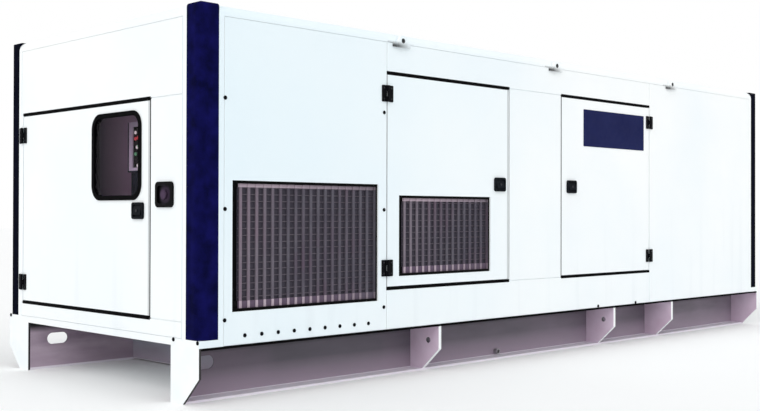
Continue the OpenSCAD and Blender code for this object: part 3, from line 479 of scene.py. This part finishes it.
def skidFinish(name, outside, inner):
    # mauve-grey skid steel with rolled streaks and stains; painted light makes the inward-facing sides,
    # the far end and the lower web lighter and the bottom flange pale, and painted shade makes it nearly
    # black right under the deck
    finish, tree, shader, coords = startFinish(name)
    place = coords["Object"]
    where, faces = split(tree, place), split(tree, coords["Normal"])
    inwards = ranged(tree, times(tree, where[1], faces[1]), *skid["inwards"], 1.0, 0.0)
    streak = noise(tree, place, skid["streak"], detail=5.0, stretch=skid["streakStretch"])
    stain = noise(tree, place, skid["stainCloud"], detail=4.0)
    stain = ranged(tree, stain, *skid["stainSpan"], 0.0, skid["stainShare"])
    # painted light: the web lightens towards the far end
    base = mixed(tree, ranged(tree, where[0], *skid["farSpan"]), outside, skid["webFar"])
    base = mixed(tree, uneven(tree, streak, skid["darkShare"], 0.0), base, skid["webDark"])
    # painted light: sides that face inwards take the lighter inner colour
    base = mixed(tree, inwards, base, mixed(tree, uneven(tree, streak), skid["stain"], inner))
    base = mixed(tree, stain, base, skid["stain"])
    # painted light from below: the web lightens towards the ground
    base = mixed(tree, ranged(tree, where[2], 0.0, skid["lowTo"], skid["lowShare"], 0.0), base, skid["low"])
    # painted shade: nearly black right under the deck
    base = mixed(tree, ranged(tree, where[2], *skid["shadeSpan"]), base, skid["shade"])
    # painted light: the bottom flange goes pale
    base = mixed(tree, ranged(tree, where[2], *skid["flangeSpan"], 1.0, 0.0), base, skid["flange"])
    gloss = uneven(tree, streak, *skid["gloss"])
    feed(tree, shader, Base_Color=base, Roughness=gloss, Specular_IOR_Level=skid["shine"])
    grained(tree, shader, place, skid["grain"], skid["grainStrength"], skid["grainDepth"], detail=3.0)
    return finish


# mauve is painted shade on the sides that face the middle; the hole and plate-edge colours are painted shade
gusset = {
    "mauve": tone(215, 197, 215), "stain": tone(198, 174, 195), "cloud": 5.0, "gloss": (0.4, 0.52),
    "holeY": 1.007, "holeZ": 0.204, "holeReach": 0.0215, "holeDark": tone(60, 54, 66),
    "plateSkin": 0.004, "plateThick": 0.0155, "plateEdge": tone(18, 17, 20),
    "grain": 240.0, "grainStrength": 0.12,
}


def gussetFinish():
    # flat sides that face the middle of the skid are mauve, painted shade on the white paint, outer sides
    # and edges are white, and painted shade darkens the hole walls and the edges of the end plates at the
    # control end
    low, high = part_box("base_end_plates")
    finish, tree, shader, coords = startFinish("gussetPaint")
    place = coords["Object"]
    where, faces = split(tree, place), split(tree, coords["Normal"])
    inner = before(tree, magnitude(tree, where[0]), high.x - gusset["plateSkin"])
    # painted shade: sides that face the middle take the mauve, outer sides and edges stay white
    side, edges = times(tree, facing(tree, faces[0]), inner), edgeOn(tree, faces[0])
    cloud = noise(tree, place, gusset["cloud"], detail=4.0)
    mauve = mixed(tree, uneven(tree, cloud), gusset["mauve"], gusset["stain"])
    pale = mixed(tree, ranged(tree, cloud, *paint["cloudSpan"]), paint["white"], paint["cool"])
    eitherSide = put(tree, "ShaderNodeCombineXYZ", {1: magnitude(tree, where[1]), 2: where[2]}).outputs[0]
    reach = reachFrom(tree, eitherSide, (0.0, 1.0, 1.0), (0.0, gusset["holeY"], gusset["holeZ"]))
    # painted shade in the hole walls
    drilled = times(tree, before(tree, reach, gusset["holeReach"]), edges)
    base = mixed(tree, drilled, mixed(tree, side, pale, mauve), gusset["holeDark"])
    # painted shade on the edges of the control-end plates
    rim = times(tree, before(tree, where[0], low.x + gusset["plateThick"]), edges)
    base = mixed(tree, rim, base, gusset["plateEdge"])
    feed(tree, shader, Base_Color=base, Roughness=uneven(tree, cloud, *gusset["gloss"]))
    grained(tree, shader, place, gusset["grain"], gusset["grainStrength"])
    return finish


finishes["rail_grey"] = skidFinish("railGrey", skid["web"], skid["inside"])
ownFinish = {"base_cross_members": skidFinish("crossMemberGrey", skid["cross"], skid["cross"])}
gussetPaint = gussetFinish()
for name in ("base_gussets_front", "base_gussets_back", "base_end_plates"):
    ownFinish[name] = gussetPaint

liner = {
    "slate": tone(74, 80, 94), "plum": tone(246, 214, 238), "from": -2.56, "to": -2.30,
    "face": 1.02, "faceSoft": 0.01,
}


def linerShare(tree, place, where, faces):  # the inner face of the back wall
    deep = ranged(tree, where[1], liner["face"] - liner["faceSoft"], liner["face"])
    return times(tree, facingBack(tree, faces[1]), deep)


def linerTint(tree, where):  # slate near the control end, plum beyond
    return mixed(tree, ranged(tree, where[0], liner["from"], liner["to"]), liner["slate"], liner["plum"])


# the border and deep colours are painted shade, the bar-end colour painted light
intake = {
    "bar": tone(95, 92, 101), "barShade": tone(81, 77, 88), "barCloud": 7.0,
    "blush": tone(98, 79, 95), "blushCloud": 3.2, "blushSpan": (0.48, 0.7), "blushShare": 0.7,
    "deep": tone(71, 68, 78), "deepFrom": 0.020, "deepTo": 0.024, "railFrom": 0.0145, "linedFrom": 0.033,
    "border": tone(1, 1, 2), "borderWidth": 0.0165, "nearBorder": 0.057, "farBorder": 0.0150,
    "barEnd": tone(178, 162, 174), "ledgeFace": tone(98, 84, 102), "ledge": 0.056, "head": 0.036,
    "paleNear": 0.34, "paleReach": 0.40, "fadeFrom": 0.3, "fade": 0.35,
    "glossCloud": 30.0, "gloss": (0.42, 0.56), "shine": 0.05, "grain": 300.0, "grainStrength": 0.15,
    "dischargeIn": 0.029,
}


def grilleFinish(name, axis, sign, face, openings, lined=False):
    # painted shade gives a black border round each opening and darkens what lies deeper behind the bars;
    # painted light makes the grey bars paler where they end and near the control end; depth runs inwards
    # from the face, and the inner face of a lined grille has the back wall's inner colour
    finish, tree, shader, coords = startFinish(name)
    place = coords["Object"]
    where = split(tree, place)
    along, height = where[1 - axis], where[2]
    depth = worked(tree, "MULTIPLY_ADD", where[axis], sign, -sign * face)
    front, behind = before(tree, depth, intake["deepFrom"]), past(tree, depth, intake["railFrom"])
    shade = uneven(tree, noise(tree, place, intake["barCloud"], detail=4.0))
    blush = noise(tree, place, intake["blushCloud"])
    blush = ranged(tree, blush, *intake["blushSpan"], 0.0, intake["blushShare"])
    base = mixed(tree, shade, intake["bar"], intake["barShade"])
    base = mixed(tree, blush, base, intake["blush"])
    # painted shade: deeper parts darken
    base = mixed(tree, ranged(tree, depth, intake["deepFrom"], intake["deepTo"]), base, intake["deep"])
    edge = intake["borderWidth"]
    for low, high in openings:
        left, right = low[1 - axis], high[1 - axis]
        bars = times(tree, inside(tree, along, left, right), front)
        # painted light: bars paler near the control end
        pale = ranged(tree, along, left, left + intake["paleReach"], intake["paleNear"], 0.0)
        base = mixed(tree, times(tree, bars, pale), base, intake["barEnd"])
        # painted light: bar ends at head and foot pale, fading towards the far side
        fadeFrom = left + intake["fadeFrom"] * (right - left)
        ends = times(tree, bars, ranged(tree, along, fadeFrom, right, 1.0, intake["fade"]))
        head = times(tree, ends, inside(tree, height, high.z - intake["head"], high.z))
        foot = times(tree, ends, inside(tree, height, low.z, low.z + intake["ledge"]))
        base = mixed(tree, head, base, intake["barEnd"])
        base = mixed(tree, foot, base, mixed(tree, behind, intake["barEnd"], intake["ledgeFace"]))
        # painted shade: black border round the opening, wider on the near side
        sides = (left + intake["nearBorder"], right - intake["farBorder"])
        middle = framed(tree, along, height, sides, (low.z + edge, high.z - edge))
        around = framed(tree, along, height, (left - edge, right + edge), (low.z - edge, high.z + edge))
        base = mixed(tree, worked(tree, "SUBTRACT", around, middle), base, intake["border"])
    if lined:
        base = mixed(tree, past(tree, depth, intake["linedFrom"]), base, linerTint(tree, where))
    gloss = uneven(tree, noise(tree, place, intake["glossCloud"]), *intake["gloss"])
    feed(tree, shader, Base_Color=base, Roughness=gloss, Specular_IOR_Level=intake["shine"])
    grained(tree, shader, place, intake["grain"], intake["grainStrength"])
    return finish


bigGrille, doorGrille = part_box("front_intake_grille"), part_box("front_left_door_grille")
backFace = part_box("back_grilles")[1].y
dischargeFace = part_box("discharge_grille")[1].x - intake["dischargeIn"]
grilleNodes = {  # axis and way of the depth, place of the face, openings, lined
    "front_intake_grille": (1, 1.0, bigGrille[0].y, [bigGrille]),
    "front_left_door_grille": (1, 1.0, doorGrille[0].y, [doorGrille]),
    "back_grilles": (1, -1.0, backFace, [bigGrille, doorGrille], True),
    "discharge_grille": (0, -1.0, dischargeFace, []),
}
for name, row in grilleNodes.items():
    ownFinish[name] = grilleFinish(name + "_paint", *row)
finishes["grille_grey"] = ownFinish["front_intake_grille"]

stop = {
    "button": tone(74, 58, 80), "pan": tone(34, 29, 39), "rim": tone(3, 3, 5), "buttonSpan": (0.012, 0.052),
    "rimSpan": (0.048, 0.060), "glossCloud": 60.0, "gloss": (0.42, 0.56), "shine": 0.05,
    "grain": 500.0, "grainStrength": 0.18,
}


def stopFinish():
    # moulded housing: black rim, and a purple-grey button that lightens towards its middle
    low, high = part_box("stop_button")
    finish, tree, shader, coords = startFinish("stopHousing")
    place = coords["Object"]
    reach = reachFrom(tree, place, (0.0, 1.0, 1.0), (0.0, (low.y + high.y) / 2, (low.z + high.z) / 2))
    pan = mixed(tree, ranged(tree, reach, *stop["buttonSpan"]), stop["button"], stop["pan"])
    base = mixed(tree, ranged(tree, reach, *stop["rimSpan"]), pan, stop["rim"])
    gloss = uneven(tree, noise(tree, place, stop["glossCloud"]), *stop["gloss"])
    feed(tree, shader, Base_Color=base, Roughness=gloss, Specular_IOR_Level=stop["shine"])
    grained(tree, shader, place, stop["grain"], stop["grainStrength"])
    return finish


doorRim = {"lip": 0.003, "lipSoft": 0.002, "band": 0.020, "bandSoft": 0.004}


def doorEdgeShade(node, axis, nearShare, farShare, nearBand=0.0, farBand=0.0, window=None):
    # share of painted shade: black on the near and far upright edges of a door, for the shaded gap beside
    # it, the shaded band that runs along the free edge of its outer face, and the walls of its window
    # opening
    low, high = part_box(node)

    def atEnds(tree, run, reach, soft, near, far):  # near and far shares within reach of the two ends
        nearEnd = ranged(tree, run, low[axis] + reach - soft, low[axis] + reach, near, 0.0)
        farEnd = ranged(tree, run, high[axis] - reach, high[axis] - reach + soft, 0.0, far)
        return larger(tree, nearEnd, farEnd)

    def share(tree, place, where, faces):
        lip = atEnds(tree, where[axis], doorRim["lip"], doorRim["lipSoft"], nearShare, farShare)
        band = atEnds(tree, where[axis], doorRim["band"], doorRim["bandSoft"], nearBand, farBand)
        lip = times(tree, lip, facing(tree, faces[axis]))
        band = times(tree, band, facingBack(tree, faces[1 - axis]))
        dark = larger(tree, lip, band)
        if window:
            sides, levels = (window[0].y, window[1].y), (window[0].z, window[1].z)
            cut = framed(tree, where[1], where[2], sides, levels)
            dark = larger(tree, dark, times(tree, cut, edgeOn(tree, faces[0])))
        return dark

    return share


lifting = {
    "spots": (-1.640, -0.014, 1.612), "height": 2.131, "reach": 0.0165, "eyeShare": 0.85, "half": 0.12,
    "rimFrom": 2.100, "rimTo": 2.128, "rimShare": 0.96,
    "shadeFrom": -0.060, "shadeTo": 0.060, "shadeLeft": 0.2,
}


def eyeShade(tree, place, where, faces):
    # share of painted shade: within the reach of the middle of each lifting eye, and along the lower edge of
    # its plate, where it fades away from the control end
    shade, half = 0.0, lifting["half"]
    rim = ranged(tree, where[2], lifting["rimFrom"], lifting["rimTo"], lifting["rimShare"], 0.0)
    for x in lifting["spots"]:
        shadeSpan = (x + lifting["shadeFrom"], x + lifting["shadeTo"])
        fade = ranged(tree, where[0], *shadeSpan, 1.0, lifting["shadeLeft"])
        lower = times(tree, times(tree, fade, inside(tree, where[0], x - half, x + half)), rim)
        reach = reachFrom(tree, place, (1.0, 0.0, 1.0), (x, 0.0, lifting["height"]))
        spot = before(tree, reach, lifting["reach"], lifting["eyeShare"])
        shade = larger(tree, larger(tree, shade, lower), spot)
    return shade


ownFinish["stop_button"] = stopFinish()
doorShades = {  # axis, near and far edge, near and far band, window
    "front_left_door": (0, 0.35, 1.0, 0.0, 0.36), "front_right_door": (0, 1.0, 0.35),
    "end_door": (1, 1.0, 0.35, 0.38, 0.0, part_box("window_seal")),
}
# each door's white paint gets painted shade on its edges, free-edge band and window walls
for node, doorShade in doorShades.items():
    ownFinish[node] = whitePaintFinish(node + "_paint", doorEdgeShade(node, *doorShade))
ownFinish["back_wall"] = whitePaintFinish("back_wall_paint", linerShare, linerTint)
for node in ("lifting_brackets", "roof"):
    ownFinish[node] = whitePaintFinish(node + "_paint", eyeShade)

glass = {"tint": (0.86, 0.78, 0.88, 1.0), "cloud": 6.0, "polish": (0.02, 0.05), "bend": 1.08}


def tintedGlassFinish():
    # smoke-tinted pane with faint uneven polish
    finish, tree, shader, coords = startFinish("tintedGlass")
    polish = uneven(tree, noise(tree, coords["Object"], glass["cloud"]), *glass["polish"])
    feed(tree, shader, Base_Color=glass["tint"], Roughness=polish)
    feed(tree, shader, IOR=glass["bend"], Transmission_Weight=1.0)
    return finish


cabinet = {
    "slate": tone(26, 35, 48), "slateLight": tone(34, 44, 58),
    "frame": tone(232, 226, 236), "panel": tone(9, 10, 12),
    "consoleTall": 0.310, "frameRim": 0.010, "frameSpan": (0.008, 0.012), "sideRim": 0.012,
    "panelSpan": (0.012, 0.0165), "cloud": 9.0, "gloss": (0.4, 0.52), "shine": 0.2,
    "grain": 420.0, "grainStrength": 0.15,
}


def cabinetFinish():
    # dark slate cabinet; the instrument panel is black and the inner part of the frame round it light grey
    low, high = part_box("control_cabinet")
    finish, tree, shader, coords = startFinish("cabinetPaint")
    place = coords["Object"]
    where = split(tree, place)
    frameFrom, frameTo = cabinet["frameSpan"]
    panelFrom, panelTo = cabinet["panelSpan"]
    rim = ranged(tree, where[0], low.x + frameFrom, low.x + frameTo, 1.0, 0.0)
    rim = times(tree, rim, past(tree, where[2], high.z - cabinet["consoleTall"] + cabinet["frameRim"]))
    rim = times(tree, rim, inside(tree, where[1], low.y + cabinet["sideRim"], high.y - cabinet["sideRim"]))
    panel = inside(tree, where[0], low.x + panelFrom, low.x + panelTo)
    cloud = noise(tree, place, cabinet["cloud"], detail=4.0)
    slate = mixed(tree, uneven(tree, cloud), cabinet["slate"], cabinet["slateLight"])
    base = mixed(tree, panel, mixed(tree, rim, slate, cabinet["frame"]), cabinet["panel"])
    gloss = uneven(tree, cloud, *cabinet["gloss"])
    feed(tree, shader, Base_Color=base, Roughness=gloss, Specular_IOR_Level=cabinet["shine"])
    grained(tree, shader, place, cabinet["grain"], cabinet["grainStrength"])
    return finish


finishes["tinted_glass"] = tintedGlassFinish()
finishes["cabinet_dark"] = cabinetFinish()
for row in frame["record"]["subparts"]:
    mesh = nodes[row["node"]].data
    mesh.materials.clear()
    mesh.materials.append(ownFinish.get(row["node"], finishes[row["material_slot"]]))
print("CAD nodes dressed")

deckLow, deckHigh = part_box("base_deck")
eastward, inward, upAxis = np.eye(3)  # along the service side, from it towards the back, and up
towardsFront, towardsEnd = -inward, -eastward
mirrorY = np.array([1.0, -1.0, 1.0])


def corners(node):  # a node's lowest and highest corners as arrays
    low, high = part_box(node)
    return np.array(low), np.array(high)


def onFront(x, z):  # a point on the service side, in metres from the control end and from the ground
    x, z = np.broadcast_arrays(np.asarray(x, float), np.asarray(z, float))
    return np.stack([deckLow.x + x, np.full(x.shape, deckLow.y), z], -1).reshape(-1, 3)


def onEnd(y, z):  # a point on the control end, in metres from the service side and from the ground
    y, z = np.broadcast_arrays(np.asarray(y, float), np.asarray(z, float))
    return np.stack([np.full(y.shape, deckLow.x), deckLow.y + y, z], -1).reshape(-1, 3)


panelScrews = {
    "radius": 0.0115, "height": 0.006,
    "columns": (0.167, 1.387), "rows": (0.457, 1.063, 1.670),
    "sillStart": 0.305, "sillEnd": 1.254, "sillCount": 9, "sillHeight": 0.365,
    "edgeBolts": ((3.723, 0.327), (4.251, 0.326)),
    "cornerBolts": ((0.012, 0.345), (0.240, 0.347), (2.180, 0.349)),
}
columnX, rowZ = np.meshgrid(panelScrews["columns"], panelScrews["rows"])
sillX = np.linspace(panelScrews["sillStart"], panelScrews["sillEnd"], panelScrews["sillCount"])
frontSpots = np.concatenate([
    onFront(columnX, rowZ), onFront(sillX, panelScrews["sillHeight"]),
    onFront(*np.transpose(panelScrews["edgeBolts"])),
])
screwHead = domeHead(panelScrews["radius"], panelScrews["height"])
for name, spots, out in (
    ("front_panel_screws", frontSpots, towardsFront),
    ("back_panel_screws", frontSpots * mirrorY, -towardsFront),
    ("control_end_bolts", onEnd(*np.transpose(panelScrews["cornerBolts"])), towardsEnd),
):
    add(name, turned(screwHead, spots, out), finishes["black_steel"], "enclosure")
print("panel screws placed")

barePlate = {
    "left": 3.526, "right": 4.369, "low": 1.556, "high": 1.838,
    "thick": 0.003, "corner": 0.006, "edge": 0.001,
    "paint": ("navyPlate", (26, 31, 74), (32, 38, 82), 0.6, 0.08, 4.0, 0.04),
}
plateX, plateZ = (barePlate["left"] + barePlate["right"]) / 2, (barePlate["low"] + barePlate["high"]) / 2
plateGrid = plate(
    onFront(plateX, plateZ)[0], eastward, upAxis,
    barePlate["right"] - barePlate["left"], barePlate["high"] - barePlate["low"],
    barePlate["corner"], barePlate["thick"], barePlate["edge"],
)
plateFinish = plainPaintFinish(*barePlate["paint"])
add("bare_navy_plate", plateGrid, plateFinish, "service_door_right", smooth=False)
print("bare plate placed")

wireMesh = {
    "pitch": 0.038, "radius": 0.0036, "sides": 6, "depth": 0.0215,
    "inset": 0.018, "near": 0.057, "points": 3,
    "paint": ("grilleWire", (96, 90, 99), (84, 77, 88), 0.55, 0.1, 20.0, 0.15),
}
wireFinish = plainPaintFinish(*wireMesh["paint"])


def acrossWires(low, high):
    # level wires behind the bars: straight runs from one side of the frame to the other at an even pitch
    count = int((high.z - low.z - 2 * wireMesh["inset"]) / wireMesh["pitch"])
    z = (low.z + high.z) / 2 + (np.arange(count) - (count - 1) / 2) * wireMesh["pitch"]
    x = np.linspace(low.x + wireMesh["near"], high.x - wireMesh["inset"], wireMesh["points"])
    z, x = np.meshgrid(z, x, indexing="ij")
    paths = np.stack([x, np.full(x.shape, low.y + wireMesh["depth"]), z], -1)
    return tube(paths, wireMesh["radius"], wireMesh["sides"])


for name, body in (("front_intake_wires", "enclosure"), ("front_left_door_wires", "service_door_left")):
    grid = acrossWires(*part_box(name.replace("_wires", "_grille")))
    add(name, grid, wireFinish, body)
    add(name.replace("front", "back"), grid * mirrorY, wireFinish, "enclosure")
print("grille wires placed")

dripSeal = {"gap": 0.005, "tall": 0.018, "proud": 0.002, "deep": 0.010, "beyond": 0.005, "corner": 0.002}
baseTrim = {"low": 0.301, "high": 0.315, "proud": 0.002, "deep": 0.006, "inset": 0.016, "corner": 0.0018}
stripCorner = 4  # points round each corner of a strip


def dripStrips(node, axis):  # strips just above and below a closed door, along the axis, proud of the wall
    low, high = corners(node)
    off = dripSeal["gap"] + dripSeal["tall"] / 2
    starts = np.tile(low, (2, 1))
    starts[:, 1 - axis] += dripSeal["deep"] / 2 - dripSeal["proud"]
    starts[:, 2] = low[2] - off, high[2] + off
    ends = starts.copy()
    starts[:, axis], ends[:, axis] = low[axis] - dripSeal["beyond"], high[axis] + dripSeal["beyond"]
    outline = roundOutline(dripSeal["deep"], dripSeal["tall"], dripSeal["corner"], stripCorner)
    return strips(outline, starts, ends, np.eye(3)[1 - axis], upAxis)


frontDrips = np.concatenate([dripStrips("front_left_door", 0), dripStrips("front_right_door", 0)])
trimY = deckLow.y - baseTrim["proud"] + baseTrim["deep"] / 2
trimZ, trimTall = (baseTrim["low"] + baseTrim["high"]) / 2, baseTrim["high"] - baseTrim["low"]
trimStart = np.array([deckLow.x + baseTrim["inset"], trimY, trimZ])
trimEnd = np.array([deckHigh.x - baseTrim["inset"], trimY, trimZ])
trimOutline = roundOutline(baseTrim["deep"], trimTall, baseTrim["corner"], stripCorner)
frontTrim = strips(trimOutline, trimStart, trimEnd, inward, upAxis)
for name, grid in (
    ("front_door_drip_seals", frontDrips), ("back_door_drip_seals", frontDrips * mirrorY),
    ("end_door_drip_seals", dripStrips("end_door", 1)),
    ("front_base_trim", frontTrim), ("back_base_trim", frontTrim * mirrorY),
):
    add(name, grid, finishes["seal_rubber"], "enclosure", smooth=False)
print("rubber strips placed")

lining = {
    "pitch": 0.056, "steps": 6, "rim": 0.060, "bar": 0.030, "floor": 0.036, "gap": 0.003, "paneRim": 0.030,
    "mean": 0.0038, "swing": 0.0024, "sink": 0.0004,
    "paint": ("acousticLining", (44, 44, 47), (58, 58, 61), 0.9, 0.5, 40.0, 0.05),
}
liningFinish = plainPaintFinish(*lining["paint"])


def liningBoard(corner, right, out, width, height):
    # egg-crate board: height over the floor is mean plus swing times cos u times cos v, and its rim drops
    # to the floor
    across, tall = width / lining["pitch"], height / lining["pitch"]
    u, v = (np.linspace(0, 1, int(round(waves * lining["steps"]))) for waves in (across, tall))
    wave = np.cos(2 * np.pi * u * round(across))[:, None] * np.cos(2 * np.pi * v * round(tall))
    flat = np.asarray(corner) + (u * width)[:, None, None] * right + (v * height)[None, :, None] * upAxis
    inner = np.zeros(wave.shape)
    inner[1:-1, 1:-1] = 1.0
    crown = flat + (inner * (lining["mean"] + lining["swing"] * wave))[..., None] * out
    return np.array([crown, flat - (inner * lining["sink"])[..., None] * out])


def liningBoards(name, body, corner, right, out, rectangles):
    # each rectangle is left, right, low and high in metres along the door from the corner
    gap = lining["gap"]
    for count, (left, far, low, high) in enumerate(rectangles):
        start = np.asarray(corner) + (left + gap) * right + (low + gap) * upAxis + lining["floor"] * out
        board = liningBoard(start, right, out, far - left - 2 * gap, high - low - 2 * gap)
        dress(surface(name + "_" + str(count + 1), board), liningFinish, body)


def splitLining(width, low, high):  # the two recesses of a door lining, one above the other
    middle = (low + high) / 2
    spans = (low + lining["rim"], middle - lining["bar"]), (middle + lining["bar"], high - lining["rim"])
    return [(lining["rim"], width - lining["rim"], *span) for span in spans]


for name, body, bottom in (
    ("front_right_door", "service_door_right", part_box("front_right_door")[0].z),
    ("front_left_door", "service_door_left", doorGrille[1].z),
):
    low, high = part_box(name)
    boards = splitLining(high.x - low.x, bottom - low.z, high.z - low.z)
    liningBoards(name + "_lining", body, low, eastward, inward, boards)
low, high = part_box("end_door")
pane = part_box("window_seal")
paneFar, paneLow = pane[1].y - low.y + lining["paneRim"], pane[0].z - low.z - lining["paneRim"]
boardFar, boardHigh = high.y - low.y - lining["rim"], high.z - low.z - lining["rim"]
liningBoards("end_door_lining", "control_door", low, inward, eastward, [
    (lining["rim"], boardFar, lining["rim"], paneLow), (paneFar, boardFar, paneLow, boardHigh),
])
print("door linings placed")

hingeScrew = {
    "reach": 0.032, "rise": 0.034, "radius": 0.0055, "height": 0.0024, "sides": 12,
    "leaf": 0.103, "barrel": 0.007, "face": 0.0057,
    "paint": ("darkScrew", (34, 35, 40), (52, 53, 58), 0.4, 0.15, 60.0, 0.3, 0.6),
}
hingeSets = {  # axis along the door, way from the pin to the door, body
    "front_left_door": (0, 1.0, "service_door_left"), "front_right_door": (0, -1.0, "service_door_right"),
    "end_door": (1, -1.0, "control_door"),
}
screwSteel = plainPaintFinish(*hingeScrew["paint"])
hingeHead = domeHead(hingeScrew["radius"], hingeScrew["height"])
for door, (axis, way, body) in hingeSets.items():
    low, high = corners(door + "_hinge_leaves")
    pin = low[axis] + hingeScrew["barrel"] if way > 0 else high[axis] - hingeScrew["barrel"]
    middles = np.array([low[2] + hingeScrew["leaf"] / 2, high[2] - hingeScrew["leaf"] / 2])
    heights = (middles[:, None] + np.array([-1, 1]) * hingeScrew["rise"]).ravel()
    out = -np.eye(3)[1 - axis]
    for part, towards, rides in (("leaf", way, body), ("plate", -way, "enclosure")):
        spots = np.zeros((len(heights), 3))
        spots[:, axis], spots[:, 2] = pin + towards * hingeScrew["reach"], heights
        spots[:, 1 - axis] = deckLow[1 - axis] - hingeScrew["face"]
        title = door + "_hinge_" + part + "_screws"
        screws = turned(hingeHead, spots, out, hingeScrew["sides"])
        add(title, screws, screwSteel, rides)
        if axis == 0:
            add(title.replace("front", "back"), screws * mirrorY, screwSteel, "enclosure")

lock = {  # rows of radius and height: a low barrel with a shallow key hole
    "profile": (
        (0.0, -0.001), (0.0085, -0.001), (0.0085, 0.0012), (0.0075, 0.002),
        (0.003, 0.002), (0.0026, 0.0012), (0.0, 0.0012),
    ),
    "sides": 14,
}
for door, (axis, way, body) in hingeSets.items():
    low, high = corners(door + "_latch")
    spot = (low + high) / 2
    spot[1 - axis] = low[1 - axis]
    barrel = turned(lock["profile"], spot, -np.eye(3)[1 - axis], lock["sides"])
    add(door + "_latch_lock", barrel, screwSteel, body)
    if axis == 0:
        title = door.replace("front", "back") + "_latch_lock"
        add(title, barrel * mirrorY, screwSteel, "enclosure")
print("hinge screws and locks placed")

console = {  # places are metres from the service side and from the ground
    "recess": 0.014, "lampRadius": 0.011, "lampHeight": 0.008, "lampSides": 14, "glow": 0.5,
    "white": ((1.054, 1.538), (1.036, 1.447), (1.026, 1.333)), "whiteLens": tone(236, 232, 224),
    "red": ((1.055, 1.500), (1.027, 1.505)), "redLens": tone(196, 40, 44),
    "green": ((1.020, 1.452), (1.052, 1.405)), "greenLens": tone(70, 150, 96),
    "haze": tone(200, 200, 200), "hazeCloud": 90.0, "hazeShare": 0.4, "lensRough": 0.3,
    "knobs": ((0.560, 1.362), (0.640, 1.362), (0.720, 1.362), (0.800, 1.362)),
    "knobRadius": 0.015, "knobHeight": 0.014, "knobSides": 18,
    "screenAt": (0.680, 1.475), "screenWide": 0.250, "screenTall": 0.130,
    "screenCorner": 0.008, "screenThick": 0.005, "screenEdge": 0.0015,
    "screenPaint": ("darkScreen", (26, 34, 36), (32, 42, 44), 0.3, 0.02, 6.0, 0.4),
}
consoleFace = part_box("control_cabinet")[0].x + console["recess"]


def lampFinish(name, colour):
    # small lit lens: slightly cloudy colour and a weak glow
    finish, tree, shader, coords = startFinish(name)
    haze = uneven(tree, noise(tree, coords["Object"], console["hazeCloud"]), 0.0, console["hazeShare"])
    feed(
        tree, shader, Base_Color=mixed(tree, haze, colour, console["haze"]), Roughness=console["lensRough"],
        Emission_Color=colour, Emission_Strength=console["glow"],
    )
    return finish


def onConsole(spots):  # points on the instrument panel
    spots = np.atleast_2d(spots)
    return np.stack([np.full(len(spots), consoleFace), deckLow.y + spots[:, 0], spots[:, 1]], -1)


lampHead = domeHead(console["lampRadius"], console["lampHeight"])
for key in ("white", "red", "green"):
    lamps = turned(lampHead, onConsole(console[key]), towardsEnd, console["lampSides"])
    lens = lampFinish("lampLens_" + key, console[key + "Lens"])
    add("console_lamps_" + key, lamps, lens, "enclosure")
knobShape = [(0.0, 0.0), (1.0, 0.0), (1.0, 0.75), (0.85, 1.0), (0.0, 1.0)]  # shares of radius and height
knobProfile = knobShape * np.array([console["knobRadius"], console["knobHeight"]])
knobs = turned(knobProfile, onConsole(console["knobs"]), towardsEnd, console["knobSides"])
add("console_knobs", knobs, finishes["black_plastic"], "enclosure", smooth=False)
screenGrid = plate(
    onConsole(console["screenAt"])[0], -inward, upAxis, console["screenWide"], console["screenTall"],
    console["screenCorner"], console["screenThick"], console["screenEdge"],
)
screenFinish = plainPaintFinish(*console["screenPaint"])
add("console_bare_screen", screenGrid, screenFinish, "enclosure", smooth=False)
print("instrument panel dressed")

floorSpan = np.linspace(-1, 1, studio["floorRows"]) * studio["floorReach"]
floorGrid = np.stack(np.meshgrid(floorSpan, floorSpan, [0.0], indexing="ij"), -1)[:, :, 0]
floor = surface("studio_floor", floorGrid[None], smooth=False)
floorFinish, tree, shader, coords = startFinish("studioFloor")
floorCloud = noise(tree, coords["Object"], studio["floorCloud"])
floorBase = mixed(tree, floorCloud, studio["floorColour"], studio["floorShade"])
feed(tree, shader, Base_Color=floorBase, Roughness=studio["floorRough"])
floor.data.materials.append(floorFinish)
print("floor laid")
